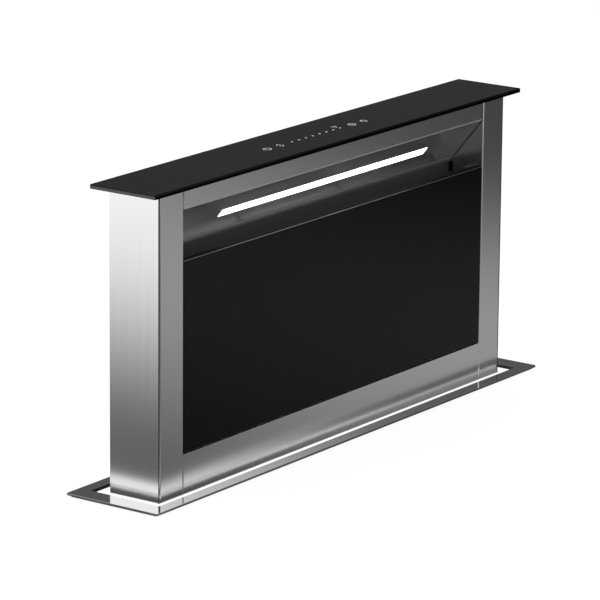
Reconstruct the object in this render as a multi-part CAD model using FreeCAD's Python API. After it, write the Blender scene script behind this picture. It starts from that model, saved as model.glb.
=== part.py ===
import FreeCAD, Part
import math
import os

from FreeCAD import Vector

# A worktop downdraft vent, in millimetres.
# X runs along the tower, Y from its front to its back, Z up.
# The origin is the centre of the worktop opening, on the worktop's top surface.
# The tower stands fully raised.

# ---------------------------------------------------------------- sizes

# Clearances
gap = 0.3  # between faces that pass or meet without touching
running_fit = 0.05  # radial, of a shaft in its bore
screw_fit = 0.15  # radial, of a screw in a plain hole

# Sheet steel
sheet = 1.2
bend = 1.0  # inside radius of a fold

# Tower
tower_length = 790.0
tower_depth = 80.0
tower_height = 405.0  # worktop to the underside of the cap glass
tail_margin = 2.0  # tower walls below the carriages
cap_rest_gap = 0.5  # between the lowered cap and the flange
corner_step = 1.5  # side panel set back from the stile's face
stile_width = 51.0
stile_return = 20.0
cap_shadow = 0.3  # between the walls and the cap glass

# Cap
cap_length = 838.0
cap_depth = 105.0
cap_thickness = 6.0
cap_corner = 2.0
cap_chamfer = 0.8
top_plate_thickness = 1.5
touch_board_length = 260.0
touch_board_depth = 32.0
touch_board_thickness = 1.6
touch_window_margin = 6.0
chip_size = 8.0
chip_height = 1.4
chip_pitch = 30.0
chip_count = 8

# Front, from the worktop up and from the cap down
bottom_rail_height = 53.5
door_gap = 2.0
top_rail_height = 27.5
intake_height = 67.5
door_side_gap = 1.0
bottom_rail_foot = 15.0

# Lamp cove, the top rail folded back above the air intake
cove_run = 53.0
cove_drop = 65.0
cove_apron = 29.0
cove_apron_inset = 5.5  # of the apron's ends from the stiles
lamp_length = 470.0
lamp_width = 12.5
lamp_place = 37.8  # down the slope, from the fold to the lamp's middle
lamp_thickness = 3.0
lamp_board_width = 10.0
lamp_board_thickness = 1.2
lamp_channel_depth = 11.0
lamp_channel_wall = 1.0

# Door
door_glass_thickness = 4.0
door_frame_depth = 9.0
door_frame_wall = 1.0
door_frame_inset = 1.5
hinge_pin_radius = 2.5
hinge_pin_head_radius = 3.5
hinge_pin_head = 2.0
hinge_height = 6.0  # above the glass's bottom edge
hinge_depth = 8.8  # behind the glass's face
magnet_size = 18.0
magnet_depth = 12.0
magnet_reach = 14.0

# Air path in the tower
partition_lap = 11.5  # up behind the end of the lamp cove
shelf_height = 33.0
shelf_apron = 15.0
tray_wall = 1.0
tray_height = 12.5
filter_count = 3
filter_spacing = 7.0
filter_headroom = 14.0
filter_thickness = 10.0
filter_border = 12.0
filter_mesh_thickness = 2.0
filter_window_margin = 14.0
finger_hole_radius = 9.0

# Worktop flange
opening_end_gap = 20.5  # between the tower's end and the opening
opening_side_gap = 16.0
opening_corner = 1.5
flange_end_width = 28.0
flange_side_width = 18.0
flange_thickness = 2.5
flange_corner = 3.0
flange_chamfer = 0.6
lip_thickness = 1.5
lip_drop = 20.0
gasket_thickness = 2.5
gasket_inset = 4.0

# Chassis under the worktop
chassis_sheet = 1.2
chassis_top_gap = 1.0
end_flange = 12.0
floor_lip = 12.0
floor_hole_radius = 3.25
floor_hole_spacing_x = 500.0
floor_hole_spacing_y = 80.0
rivet_head_radius = 3.0
rivet_head_height = 1.0
rivet_count = 6

# Worktop clamps
worktop_thickness = 38.0
clamp_place = 300.0
clamp_width = 40.0
clamp_leg = 40.0
clamp_reach = 34.0
clamp_sheet = 2.5
clamp_room = 34.0  # between the worktop's underside and the bracket's shelf
clamp_screw_radius = 3.0
clamp_screw_tail = 16.0
clamp_pad_radius = 9.0
clamp_pad_height = 4.0
clamp_knob_radius = 7.0
clamp_knob_height = 6.0

# Neck glides, which keep the raised tower upright
glide_drop = 4.0  # below the flange's lip
glide_height = 36.0
glide_end_width = 50.0
glide_side_width = 30.0

# Masts
mast_side = 24.0
mast_wall = 2.5
mast_back_gap = 6.8  # to the back panel
mast_top_drop = 15.0  # below the worktop's top surface
mast_foot_thickness = 8.0
mast_foot_length = 48.0
mast_foot_depth = 72.0
mast_foot_collar = 24.0
mast_foot_collar_wall = 5.0
head_cheek = 2.0
head_height = 46.0

# Lift belts and pulleys
belt_width = 10.0
belt_thickness = 1.6
pulley_radius = 14.0
belt_seat = 0.2
pulley_rim_rise = 3.0
pulley_rim_thickness = 1.5
pulley_face = 12.0
pulley_hub_radius = 9.0
pulley_hub_length = 6.0
shaft_radius = 5.0
shaft_room = 13.8  # between the pulley's rim and the mast's foot
idler_drop = 19.0  # idler axle below the mast's top
idler_axle_radius = 3.0
idler_axle_head = 2.0
idler_axle_head_radius = 5.0

# Carriages
carriage_height = 44.0
carriage_wall = 4.4
carriage_gap = 3.0  # below the mast's head when the tower is up
clamp_plate = 3.0
clamp_back_plate = 1.35
clamp_seat = 0.15
clamp_plate_height = 26.0

# Shaft bearings, worm gearbox and motor
bearing_inset = 43.0  # from the mast's middle
bearing_width = 14.0
bearing_height_over_shaft = 12.0
bearing_half_depth = 14.0
gearbox_half_length = 32.0
gearbox_half_depth = 30.0
gearbox_over_shaft = 30.0
gearbox_chamfer = 3.0
lift_motor_radius = 24.0
lift_motor_length = 88.0
lift_motor_cap = 8.0
lift_motor_cap_inset = 3.0
lift_motor_room = 24.5  # between the motor and the lowered tower

# Blower
blower_height = 270.0  # impeller axis above the chassis bottom
scroll_clearance = 25.0
scroll_growth = 22.0
scroll_wall = 2.5
throat_x = 200.0
inlet_overlap = 1.0  # of the inlet over the blades' inner edges
inlet_lip = 6.0
impeller_radius = 90.0
impeller_inlet_gap = 14.0
impeller_motor_gap = 27.0
impeller_disc = 2.5
impeller_ring_width = 9.0
impeller_hub_radius = 13.0
impeller_hub_length = 34.0
blade_count = 36
blade_depth = 16.0
blade_thickness = 1.3
blade_mid_angle = 1.5
blade_tip_angle = 7.0
blade_bite = 0.5
blower_shaft_radius = 4.0
motor_flange_width = 14.0
motor_flange_thickness = 4.0
motor_radius = 48.0
motor_length = 42.0
motor_edge = 6.0
motor_socket = 30.0
motor_shaft_hole = 12.0
motor_screw_count = 4
motor_screw_radius = 2.0
motor_screw_head_radius = 3.8
motor_screw_head = 2.5

# Outlet collar and backdraft damper
collar_radius = 74.5
collar_wall = 1.5
collar_margin = 4.5  # from the spigot to the edge of its plate
collar_length = 60.0
collar_plate = 3.0
damper_rod_radius = 2.0
damper_rod_inset = 0.5  # rod ends inside the collar's outer face
damper_place = 8.0  # rod axis from the collar plate's outer face
flap_thickness = 1.5
flap_margin = 1.5
knuckle_radius = 4.0
knuckle_length = 18.0
knuckle_count = 6
knuckle_gap = 0.5

# Electrics
control_box_inset = 67.0  # from the chassis end
control_box_length = 160.0
control_box_top = -210.0
control_box_height = 120.0
control_box_depth = 46.0
control_box_wall = 2.5
control_lid = 3.0
control_board_margin = 8.0
control_board_thickness = 1.6
control_board_stand = 6.0
relay_size = 16.0
relay_height = 15.0
relay_pitch = 26.0
relay_count = 4
gland_bore = 4.5
gland_radius = 8.0
gland_nut_radius = 11.0
gland_nut = 5.0
gland_length = 24.0
gland_offset = 45.0

# ---------------------------------------------------------------- places worked out from the sizes

# Tower walls
half_length = tower_length / 2
front = -tower_depth / 2
back = tower_depth / 2
wall_top = tower_height - cap_shadow
plate_bottom = tower_height - top_plate_thickness
stile_inner = half_length - stile_width
channel_half = stile_inner - gap  # half length of what fits between the stiles
outer_return = half_length - corner_step
panel_inner = half_length - sheet
back_inner = back - sheet

# Front and door
top_rail_bottom = tower_height - top_rail_height
door_top = top_rail_bottom - intake_height
door_half = stile_inner - door_side_gap
door_bottom = bottom_rail_height + door_gap
hinge_y = front + hinge_depth
hinge_z = door_bottom + hinge_height
door_frame_front = front + door_glass_thickness
door_frame_back = door_frame_front + door_frame_depth
door_frame_half = door_half - door_frame_inset

# Air path
cove_foot = top_rail_bottom - cove_drop - cove_apron
partition_front = front + cove_run + sheet + gap
partition_top = cove_foot + partition_lap
filter_pitch = 2 * channel_half / filter_count
filter_length = filter_pitch - filter_spacing
filter_bottom = shelf_height + tray_height + gap
filter_height = partition_top - filter_headroom - filter_bottom

# Flange and neck
flange_top = gasket_thickness + flange_thickness
opening_length = tower_length + 2 * opening_end_gap
opening_depth = tower_depth + 2 * opening_side_gap
flange_length = opening_length + 2 * flange_end_width
flange_depth = opening_depth + 2 * flange_side_width
chassis_half_x = opening_length / 2 + lip_thickness
chassis_half_y = opening_depth / 2 + lip_thickness
chassis_front = -chassis_half_y - chassis_sheet
chassis_wall_top = -chassis_top_gap
glide_top = -lip_drop - glide_drop
clamp_level = -worktop_thickness - clamp_room

# Masts, carriages and belts
mast_x = (stile_inner + sheet + panel_inner) / 2
mast_y = back_inner - mast_back_gap - mast_side / 2
mast_top = -mast_top_drop
idler_level = mast_top - idler_drop
pulley_rim = pulley_radius + pulley_rim_rise
belt_inner = pulley_radius + belt_seat
belt_outer = belt_inner + belt_thickness
carriage_top = mast_top - head_height - carriage_gap
carriage_y = mast_y - mast_side / 2 - gap - carriage_wall
belt_y = carriage_y - clamp_back_plate - clamp_seat - belt_outer
tail = carriage_top - carriage_height - tail_margin

# Depth of the chassis, from what stands under the lowered tower
lift_travel = tower_height - flange_top - cap_rest_gap
lift_motor_top = tail - lift_travel - lift_motor_room
shaft_level = lift_motor_top - lift_motor_cap - lift_motor_length - gearbox_over_shaft
mast_foot_top = shaft_level - pulley_rim - shaft_room
chassis_floor_top = mast_foot_top - mast_foot_thickness
chassis_bottom = chassis_floor_top - chassis_sheet
rivet_pitch = (chassis_wall_top - chassis_bottom) / rivet_count
bearing_x = mast_x - bearing_inset

# Blower and outlet
blower_z = chassis_bottom + blower_height
impeller_eye = impeller_radius - blade_depth
inlet_radius = impeller_eye + inlet_overlap
scroll_radius = impeller_radius + scroll_clearance
scroll_depth = 2 * (collar_radius + collar_margin)
throat_height = scroll_depth
scroll_back = chassis_front
scroll_front = scroll_back - scroll_depth
scroll_split = scroll_back - scroll_depth / 2
scroll_bottom = -(scroll_radius + 3 * scroll_growth)
throat_top = scroll_bottom + throat_height
outlet_y = scroll_split
outlet_z = blower_z + scroll_bottom + throat_height / 2
impeller_back = scroll_back - scroll_wall - impeller_inlet_gap
impeller_front = scroll_front + scroll_wall + impeller_motor_gap
impeller_width = impeller_back - impeller_front
motor_flange_radius = motor_radius + motor_flange_width
motor_screw_circle = (motor_radius + motor_flange_radius) / 2
collar_end = throat_x + collar_plate + collar_length
damper_x = throat_x + collar_plate + damper_place
flap_radius = collar_radius - collar_wall - flap_margin

# Control box
control_box_start = -chassis_half_x + control_box_inset
control_box_x = (control_box_start, control_box_start + control_box_length)
control_box_z = (control_box_top - control_box_height, control_box_top)

# ---------------------------------------------------------------- building blocks


def box(x, y, z):
    """A block between two limits along each axis."""
    low = Vector(min(x), min(y), min(z))
    high = Vector(max(x), max(y), max(z))
    size = high.sub(low)
    return Part.makeBox(size.x, size.y, size.z, low)


def rod(radius, start, end):
    """A round bar from one point to another."""
    axis = end.sub(start)
    return Part.makeCylinder(radius, axis.Length, start, axis)


def pipe(outer, inner, start, end):
    """A round tube from one point to another."""
    return rod(outer, start, end).cut(rod(inner, start, end))


def slab(length, depth, z, corner):
    """An upright block about the centre with rounded corners."""
    block = box((-length / 2, length / 2), (-depth / 2, depth / 2), z)
    uprights = [e for e in block.Edges if abs(e.Vertexes[0].Z - e.Vertexes[1].Z) > gap / 2]
    return block.makeFillet(corner, uprights)


def ease_top(shape, level, size):
    """Chamfers every edge that lies in a level plane."""
    edges = [e for e in shape.Edges if all(abs(v.Z - level) < gap / 100 for v in e.Vertexes)]
    return shape.makeChamfer(size, edges)


def mirrored(shape):
    """The same piece on the tower's other side."""
    return shape.mirror(Vector(0, 0, 0), Vector(1, 0, 0))


def both_sides(shape):
    """A piece and its mirror image as two solids."""
    return Part.makeCompound([shape, mirrored(shape)])


def on_yz(u, v):
    """A point of a section drawn across the tower."""
    return Vector(0, u, v)


def on_xy(u, v):
    """A point of a section drawn from above."""
    return Vector(u, v, 0)


def folded_face(points, thickness, side, place):
    """Section of a folded sheet. Its shown face runs through the points, and the metal lies on the
    left of the path where side is 1 and on the right where it is -1."""
    points = [Vector(u, v, 0) for u, v in points]
    shown = [points[0]]
    hidden = []
    ways = [b.sub(a).normalize() for a, b in zip(points, points[1:])]
    normals = [Vector(-way.y, way.x, 0) * side for way in ways]
    hidden.append(points[0] + normals[0] * thickness)
    arcs = []
    for corner, before, after, inward, onward in zip(points[1:], ways, ways[1:], normals, normals[1:]):
        turn = math.copysign(1, before.cross(after).z) * side
        shown_radius = bend + thickness if turn > 0 else bend
        hidden_radius = bend if turn > 0 else bend + thickness
        reach = shown_radius * math.tan(before.getAngle(after) / 2)
        start = corner - before * reach
        end = corner + after * reach
        centre = start + inward * shown_radius * turn
        outward = (corner - centre).normalize()
        shown += [start, centre + outward * shown_radius, end]
        hidden += [start + inward * thickness, centre + outward * hidden_radius, end + onward * thickness]
        arcs.append(len(shown) - 3)
    shown.append(points[-1])
    hidden.append(points[-1] + normals[-1] * thickness)

    def path(line):
        at = [place(p.x, p.y) for p in line]
        edges = []
        index = 0
        while index < len(at) - 1:
            if index in arcs:
                edges.append(Part.Arc(at[index], at[index + 1], at[index + 2]).toShape())
                index += 2
            else:
                edges.append(Part.makeLine(at[index], at[index + 1]))
                index += 1
        return edges, at

    shown_edges, shown_points = path(shown)
    hidden_edges, hidden_points = path(hidden)
    caps = [
        Part.makeLine(shown_points[-1], hidden_points[-1]),
        Part.makeLine(shown_points[0], hidden_points[0]),
    ]
    outline = Part.Wire(Part.__sortEdges__(shown_edges + hidden_edges + caps))
    return Part.Face(outline)


def fold_along_x(points, thickness, side, half):
    """A folded sheet that runs along the tower, centred."""
    face = folded_face(points, thickness, side, on_yz)
    face.translate(Vector(-half, 0, 0))
    return face.extrude(Vector(2 * half, 0, 0))


def fold_upright(points, thickness, side, z):
    """A folded sheet that stands upright between two levels."""
    face = folded_face(points, thickness, side, on_xy)
    face.translate(Vector(0, 0, min(z)))
    return face.extrude(Vector(0, 0, max(z) - min(z)))


def pan_screw(shank_radius, head_radius, head, seat, inward, length):
    """A round-headed screw: the head stands on the seat, the shank goes inward."""
    shank = rod(shank_radius, seat, seat + inward * length)
    cap = rod(head_radius, seat, seat - inward * head)
    return shank.fuse(cap)


# ---------------------------------------------------------------- worktop flange and chassis


def worktop_flange():
    plate = slab(flange_length, flange_depth, (gasket_thickness, flange_top), flange_corner)
    plate = ease_top(plate, flange_top, flange_chamfer)
    lip_length = opening_length + 2 * lip_thickness
    lip_depth = opening_depth + 2 * lip_thickness
    lip = slab(lip_length, lip_depth, (-lip_drop, gasket_thickness), opening_corner)
    through = slab(opening_length, opening_depth, (-2 * lip_drop, 2 * flange_top), opening_corner)
    return plate.fuse(lip).cut(through).removeSplitter()


def worktop_gasket():
    outer = slab(
        flange_length - 2 * gasket_inset,
        flange_depth - 2 * gasket_inset,
        (0, gasket_thickness),
        flange_corner,
    )
    half_x = chassis_half_x + chassis_sheet + gap
    half_y = chassis_half_y + chassis_sheet + gap
    inner = box(
        (-half_x, half_x),
        (-half_y, half_y),
        (-gasket_thickness, 2 * gasket_thickness),
    )
    return outer.cut(inner)


def rivets(face_y, outward):
    """Rivet heads up each end of a long chassis panel."""
    heads = []
    x = chassis_half_x - end_flange / 2
    for index in range(rivet_count):
        z = chassis_bottom + rivet_pitch * (index + 1 / 2)
        seat = Vector(x, face_y, z)
        heads.append(rod(rivet_head_radius, seat, seat + Vector(0, outward * rivet_head_height, 0)))
    return heads + [mirrored(head) for head in heads]


def chassis_panel(side):
    """A long wall of the chassis: side -1 is the front, 1 the back."""
    inner = side * chassis_half_y
    outer = inner + side * chassis_sheet
    reach = chassis_half_x + chassis_sheet
    wall = box((-reach, reach), (inner, outer), (chassis_bottom, chassis_wall_top))
    return wall.multiFuse(rivets(outer, side))


def chassis_front_panel():
    hole = rod(inlet_radius, Vector(0, 2 * chassis_front, blower_z), Vector(0, 0, blower_z))
    return chassis_panel(-1).cut(hole)


def chassis_end():
    """The right-hand end: a plate with a flange folded in along each long wall."""
    shown = chassis_half_x + chassis_sheet
    inner = chassis_half_x
    plate = box((inner, shown), (-chassis_half_y, chassis_half_y), (chassis_bottom, chassis_wall_top))
    flange_z = (chassis_bottom, -lip_drop - gap)
    pieces = []
    for side in (-1, 1):
        face = side * chassis_half_y
        pieces.append(box((inner - end_flange, inner), (face, face - side * chassis_sheet), flange_z))
    return plate.multiFuse(pieces).removeSplitter()


def chassis_floor():
    reach = chassis_half_x
    plate = box((-reach, reach), (-chassis_half_y, chassis_half_y), (chassis_bottom, chassis_floor_top))
    lip_reach = reach - end_flange - gap
    lips = []
    for side in (-1, 1):
        face = side * chassis_half_y
        rise = (chassis_floor_top, chassis_floor_top + floor_lip)
        lips.append(box((-lip_reach, lip_reach), (face, face - side * chassis_sheet), rise))
    corners = []
    for x in (-reach, reach):
        for y in (-chassis_half_y, chassis_half_y):
            inward_x = x - math.copysign(end_flange + gap, x)
            inward_y = y - math.copysign(chassis_sheet + gap, y)
            corners.append(box((x, inward_x), (y, inward_y), (chassis_bottom, chassis_floor_top)))
    holes = []
    for x in (-floor_hole_spacing_x / 2, floor_hole_spacing_x / 2):
        for y in (-floor_hole_spacing_y / 2, floor_hole_spacing_y / 2):
            low = Vector(x, y, chassis_bottom - floor_lip)
            holes.append(rod(floor_hole_radius, low, Vector(x, y, chassis_floor_top + floor_lip)))
    return plate.multiFuse(lips).cut(Part.makeCompound(corners + holes)).removeSplitter()


def clamp_places():
    """The four places of the worktop clamps: x, side of the chassis."""
    return [(x, side) for x in (-clamp_place, clamp_place) for side in (-1, 1)]


def clamp_axis(side):
    return side * (chassis_half_y + chassis_sheet + clamp_reach - clamp_pad_radius)


def clamp_brackets():
    brackets = []
    for x, side in clamp_places():
        wall = side * (chassis_half_y + chassis_sheet)
        width = (x - clamp_width / 2, x + clamp_width / 2)
        leg = box(width, (wall, wall + side * clamp_sheet), (clamp_level - clamp_leg, clamp_level))
        shelf = box(width, (wall, wall + side * clamp_reach), (clamp_level - clamp_sheet, clamp_level))
        low = Vector(x, clamp_axis(side), clamp_level - clamp_leg)
        hole = rod(clamp_screw_radius + running_fit, low, low + Vector(0, 0, 2 * clamp_leg))
        brackets.append(leg.fuse(shelf).cut(hole).removeSplitter())
    return Part.makeCompound(brackets)


def clamp_screws():
    screws = []
    for x, side in clamp_places():
        top = Vector(x, clamp_axis(side), -worktop_thickness)
        pad_bottom = top - Vector(0, 0, clamp_pad_height)
        foot = Vector(x, clamp_axis(side), clamp_level - clamp_screw_tail)
        knob_top = foot + Vector(0, 0, clamp_knob_height)
        screw = rod(clamp_screw_radius, foot, top)
        screw = screw.fuse(rod(clamp_pad_radius, pad_bottom, top))
        screws.append(screw.fuse(rod(clamp_knob_radius, foot, knob_top)))
    return Part.makeCompound(screws)


def neck_glides():
    """Nylon blocks inside the neck that the tower's ends, front and back slide on."""
    z = (glide_top - glide_height, glide_top)
    end = box((half_length + gap, chassis_half_x), (-glide_end_width / 2, glide_end_width / 2), z)
    blocks = [end]
    for side in (-1, 1):
        y = (side * (back + gap), side * chassis_half_y)
        blocks.append(box((mast_x - glide_side_width / 2, mast_x + glide_side_width / 2), y, z))
    return Part.makeCompound(blocks + [mirrored(block) for block in blocks])


# ---------------------------------------------------------------- lift


def mast():
    """The right-hand mast, a square tube."""
    half = mast_side / 2
    z = (mast_foot_top, mast_top)
    tube = box((mast_x - half, mast_x + half), (mast_y - half, mast_y + half), z)
    hollow = half - mast_wall
    return tube.cut(box((mast_x - hollow, mast_x + hollow), (mast_y - hollow, mast_y + hollow), z))


def mast_foot():
    plate = box(
        (mast_x - mast_foot_length / 2, mast_x + mast_foot_length / 2),
        (-mast_foot_depth / 2, mast_foot_depth / 2),
        (chassis_floor_top, mast_foot_top),
    )
    inner = mast_side / 2
    outer = inner + mast_foot_collar_wall
    z = (mast_foot_top, mast_foot_top + mast_foot_collar)
    collar = box((mast_x - outer, mast_x + outer), (mast_y - inner, mast_y + outer), z)
    pocket = box((mast_x - inner, mast_x + inner), (mast_y - outer, mast_y + inner), z)
    return plate.fuse(collar.cut(pocket)).removeSplitter()


def mast_head():
    """Two cheeks on the mast's sides and a top strap; they carry the idler's axle."""
    half = mast_side / 2
    y = (belt_y - belt_inner + head_cheek, mast_y + half)
    z = (mast_top - head_height, mast_top + head_cheek)
    cheeks = []
    for side in (-1, 1):
        inner = mast_x + side * half
        cheeks.append(box((inner, inner + side * head_cheek), y, z))
    strap_x = (mast_x - half - head_cheek, mast_x + half + head_cheek)
    strap = box(strap_x, (mast_y - half, mast_y + half), (mast_top, mast_top + head_cheek))
    axle_hole = rod(
        idler_axle_radius,
        Vector(strap_x[0] - head_cheek, belt_y, idler_level),
        Vector(strap_x[1] + head_cheek, belt_y, idler_level),
    )
    return strap.multiFuse(cheeks).cut(axle_hole).removeSplitter()


def idler_axle():
    reach = mast_side / 2 + head_cheek
    start = Vector(mast_x - reach, belt_y, idler_level)
    end = Vector(mast_x + reach, belt_y, idler_level)
    along = Vector(1, 0, 0)
    axle = rod(idler_axle_radius, start, end)
    heads = [
        rod(idler_axle_head_radius, start - along * idler_axle_head, start),
        rod(idler_axle_head_radius, end, end + along * idler_axle_head),
    ]
    return axle.multiFuse(heads)


def rimmed_pulley(level):
    """The right-hand belt pulley at a level, without its bore."""
    along = Vector(1, 0, 0)
    centre = Vector(mast_x, belt_y, level)
    half = pulley_face / 2
    wheel = rod(pulley_radius, centre - along * half, centre + along * half)
    rims = []
    for side in (-1, 1):
        start = centre + along * side * half
        rims.append(rod(pulley_rim, start, start + along * side * pulley_rim_thickness))
    return wheel.multiFuse(rims)


def idler_pulley():
    along = Vector(1, 0, 0)
    centre = Vector(mast_x, belt_y, idler_level)
    reach = mast_side / 2 - gap
    hub = rod(pulley_hub_radius, centre - along * reach, centre + along * reach)
    bore = rod(idler_axle_radius + running_fit, centre - along * 2 * reach, centre + along * 2 * reach)
    return rimmed_pulley(idler_level).fuse(hub).cut(bore)


def drive_pulley():
    along = Vector(1, 0, 0)
    centre = Vector(mast_x, belt_y, shaft_level)
    inner = centre - along * (pulley_face / 2 + pulley_rim_thickness)
    hub = rod(pulley_hub_radius, inner - along * pulley_hub_length, inner)
    bore = rod(shaft_radius, centre - along * mast_side, centre + along * mast_side)
    return rimmed_pulley(shaft_level).fuse(hub).cut(bore)


def drive_shaft():
    reach = mast_x + pulley_face / 2 + pulley_rim_thickness
    return rod(shaft_radius, Vector(-reach, belt_y, shaft_level), Vector(reach, belt_y, shaft_level))


def belt_outline(radius):
    """A loop round both pulleys, seen along the tower."""
    x = mast_x - belt_width / 2
    top = Vector(x, belt_y, idler_level)
    low = Vector(x, belt_y, shaft_level)
    side = Vector(0, radius, 0)
    over = Part.Arc(top - side, top + Vector(0, 0, radius), top + side).toShape()
    under = Part.Arc(low + side, low - Vector(0, 0, radius), low - side).toShape()
    runs = [Part.makeLine(top + side, low + side), Part.makeLine(low - side, top - side)]
    return Part.Face(Part.Wire([over, runs[0], under, runs[1]]))


def lift_belt():
    along = Vector(belt_width, 0, 0)
    return belt_outline(belt_outer).extrude(along).cut(belt_outline(belt_inner).extrude(along))


def shaft_bearing():
    x = (bearing_x - bearing_width / 2, bearing_x + bearing_width / 2)
    y = (belt_y - bearing_half_depth, belt_y + bearing_half_depth)
    block = box(x, y, (chassis_floor_top, shaft_level + bearing_height_over_shaft))
    start = Vector(x[0] - bearing_width, belt_y, shaft_level)
    bore = rod(shaft_radius + running_fit, start, Vector(x[1] + bearing_width, belt_y, shaft_level))
    return block.cut(bore)


def lift_gearbox():
    x = (-gearbox_half_length, gearbox_half_length)
    y = (belt_y - gearbox_half_depth, belt_y + gearbox_half_depth)
    block = box(x, y, (chassis_floor_top, shaft_level + gearbox_over_shaft))
    block = ease_top(block, shaft_level + gearbox_over_shaft, gearbox_chamfer)
    start = Vector(2 * x[0], belt_y, shaft_level)
    return block.cut(rod(shaft_radius + running_fit, start, Vector(2 * x[1], belt_y, shaft_level)))


def lift_motor():
    foot = Vector(0, belt_y, shaft_level + gearbox_over_shaft)
    shoulder = foot + Vector(0, 0, lift_motor_length)
    can = rod(lift_motor_radius, foot, shoulder)
    cap = rod(lift_motor_radius - lift_motor_cap_inset, shoulder, shoulder + Vector(0, 0, lift_motor_cap))
    return can.fuse(cap)


def carriage():
    """The right-hand carriage: a nylon block on the side panel that slides up the mast."""
    half = mast_side / 2
    inner_x = mast_x - half - gap - carriage_wall
    back_y = mast_y + half + gap + carriage_wall
    z = (carriage_top - carriage_height, carriage_top)
    block = box((inner_x, panel_inner), (carriage_y, back_y), z)
    slide = half + gap
    way = box((mast_x - slide, mast_x + slide), (mast_y - slide, mast_y + slide), z)
    return block.cut(way)


def belt_clamp():
    """Two plates on the carriage's front that grip the belt's rear run."""
    near = belt_y + belt_outer + clamp_seat
    far = belt_y + belt_inner - clamp_seat
    middle = carriage_top - carriage_height / 2
    z = (middle - clamp_plate_height / 2, middle + clamp_plate_height / 2)
    reach = belt_width / 2 + clamp_plate
    x = (mast_x - reach, mast_x + reach)
    block = box(x, (far - clamp_plate, carriage_y), z)
    slot_x = (mast_x - belt_width / 2 - clamp_seat, mast_x + belt_width / 2 + clamp_seat)
    return block.cut(box(slot_x, (far, near), z))


# ---------------------------------------------------------------- tower


def side_panel():
    """The right-hand end wall, set back a step from the stile's face."""
    return box((panel_inner, half_length), (front + corner_step, back), (tail, wall_top))


def front_stile():
    """The right-hand stile: a face, a short outer fold and an inner wall that closes the air path."""
    points = [
        (stile_inner, back_inner - gap),
        (stile_inner, front),
        (outer_return, front),
        (outer_return, front + stile_return),
    ]
    stile = fold_upright(points, sheet, 1, (tail, wall_top))
    over = box(
        (stile_inner - sheet, stile_inner + 2 * sheet),
        (front + 2 * sheet, back),
        (plate_bottom - gap, tower_height),
    )
    hole = rod(
        hinge_pin_radius + running_fit,
        Vector(stile_inner - sheet, hinge_y, hinge_z),
        Vector(stile_inner + 2 * sheet, hinge_y, hinge_z),
    )
    return stile.cut(over).cut(hole)


def cove_axes():
    """The slope's start at the fold, and its tilt from upright in degrees."""
    start = Vector(0, front, top_rail_bottom)
    return start, math.degrees(math.atan2(cove_run, cove_drop))


def on_slope(x, along, depth):
    """A block laid on the cove: limits along X, down the slope and into the metal."""
    start, tilt = cove_axes()
    block = box(x, depth, (-max(along), -min(along)))
    block.rotate(Vector(0, 0, 0), Vector(1, 0, 0), tilt)
    block.translate(start)
    return block


def top_rail():
    """The rail under the cap, folded back and down into the lamp cove."""
    cove_end = (front + cove_run, cove_foot + cove_apron)
    points = [
        (front, wall_top),
        (front, top_rail_bottom),
        cove_end,
        (front + cove_run, cove_foot),
    ]
    rail = fold_along_x(points, sheet, 1, channel_half)
    half = lamp_length / 2 + gap
    along = (lamp_place - lamp_width / 2 - gap, lamp_place + lamp_width / 2 + gap)
    slot = on_slope((-half, half), along, (-sheet, 2 * sheet))
    apron_y = (front + cove_run - sheet, front + cove_run + 2 * sheet)
    apron_x = (channel_half - cove_apron_inset, channel_half + cove_apron_inset)
    notch = box(apron_x, apron_y, (cove_foot - gap, cove_foot + cove_apron - bend - sheet))
    return rail.cut(slot).cut(both_sides(notch))


def led_diffuser():
    half = lamp_length / 2
    along = (lamp_place - lamp_width / 2, lamp_place + lamp_width / 2)
    return on_slope((-half, half), along, (0, lamp_thickness))


def led_channel():
    """Aluminium channel behind the cove that holds the diffuser and the lamp board."""
    half = lamp_length / 2 + lamp_channel_wall
    outer = lamp_width / 2 + gap + lamp_channel_wall
    inner = lamp_width / 2 + gap
    depth = (sheet, sheet + lamp_channel_depth)
    hollow_depth = (sheet, depth[1] - lamp_channel_wall)
    block = on_slope((-half, half), (lamp_place - outer, lamp_place + outer), depth)
    hollow = on_slope((-half - gap, half + gap), (lamp_place - inner, lamp_place + inner), hollow_depth)
    return block.cut(hollow)


def led_board():
    half = lamp_length / 2 - lamp_channel_wall
    seat = sheet + lamp_channel_depth - lamp_channel_wall
    across = (lamp_place - lamp_board_width / 2, lamp_place + lamp_board_width / 2)
    return on_slope((-half, half), across, (seat - lamp_board_thickness, seat))


def bottom_rail():
    points = [(front + bottom_rail_foot, tail), (front, tail), (front, bottom_rail_height)]
    return fold_along_x(points, sheet, -1, channel_half)


def back_panel():
    return box((-outer_return, outer_return), (back_inner, back), (tail, wall_top))


def top_plate():
    """Closes the tower; the cap glass is bonded on it, over a window for the touch board."""
    reach = outer_return - sheet - gap
    half_y = back_inner - gap - bend
    plate = box((-reach, reach), (-half_y, half_y), (plate_bottom, tower_height))
    half_window = touch_board_length / 2 - touch_window_margin
    half_width = touch_board_depth / 2 - touch_window_margin
    window = box((-half_window, half_window), (-half_width, half_width), (plate_bottom, tower_height))
    return plate.cut(window)


def touch_board():
    """The circuit board under the touch symbols, with its sensor chips below."""
    half = touch_board_length / 2
    half_y = touch_board_depth / 2
    seat = plate_bottom
    board = box((-half, half), (-half_y, half_y), (seat - touch_board_thickness, seat))
    chips = []
    for index in range(chip_count):
        x = (index - (chip_count - 1) / 2) * chip_pitch
        under = seat - touch_board_thickness
        chips.append(
            box(
                (x - chip_size / 2, x + chip_size / 2),
                (-chip_size / 2, chip_size / 2),
                (under - chip_height, under),
            )
        )
    return board.multiFuse(chips)


def cap_glass():
    glass = slab(cap_length, cap_depth, (tower_height, tower_height + cap_thickness), cap_corner)
    return ease_top(glass, tower_height + cap_thickness, cap_chamfer)


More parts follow.
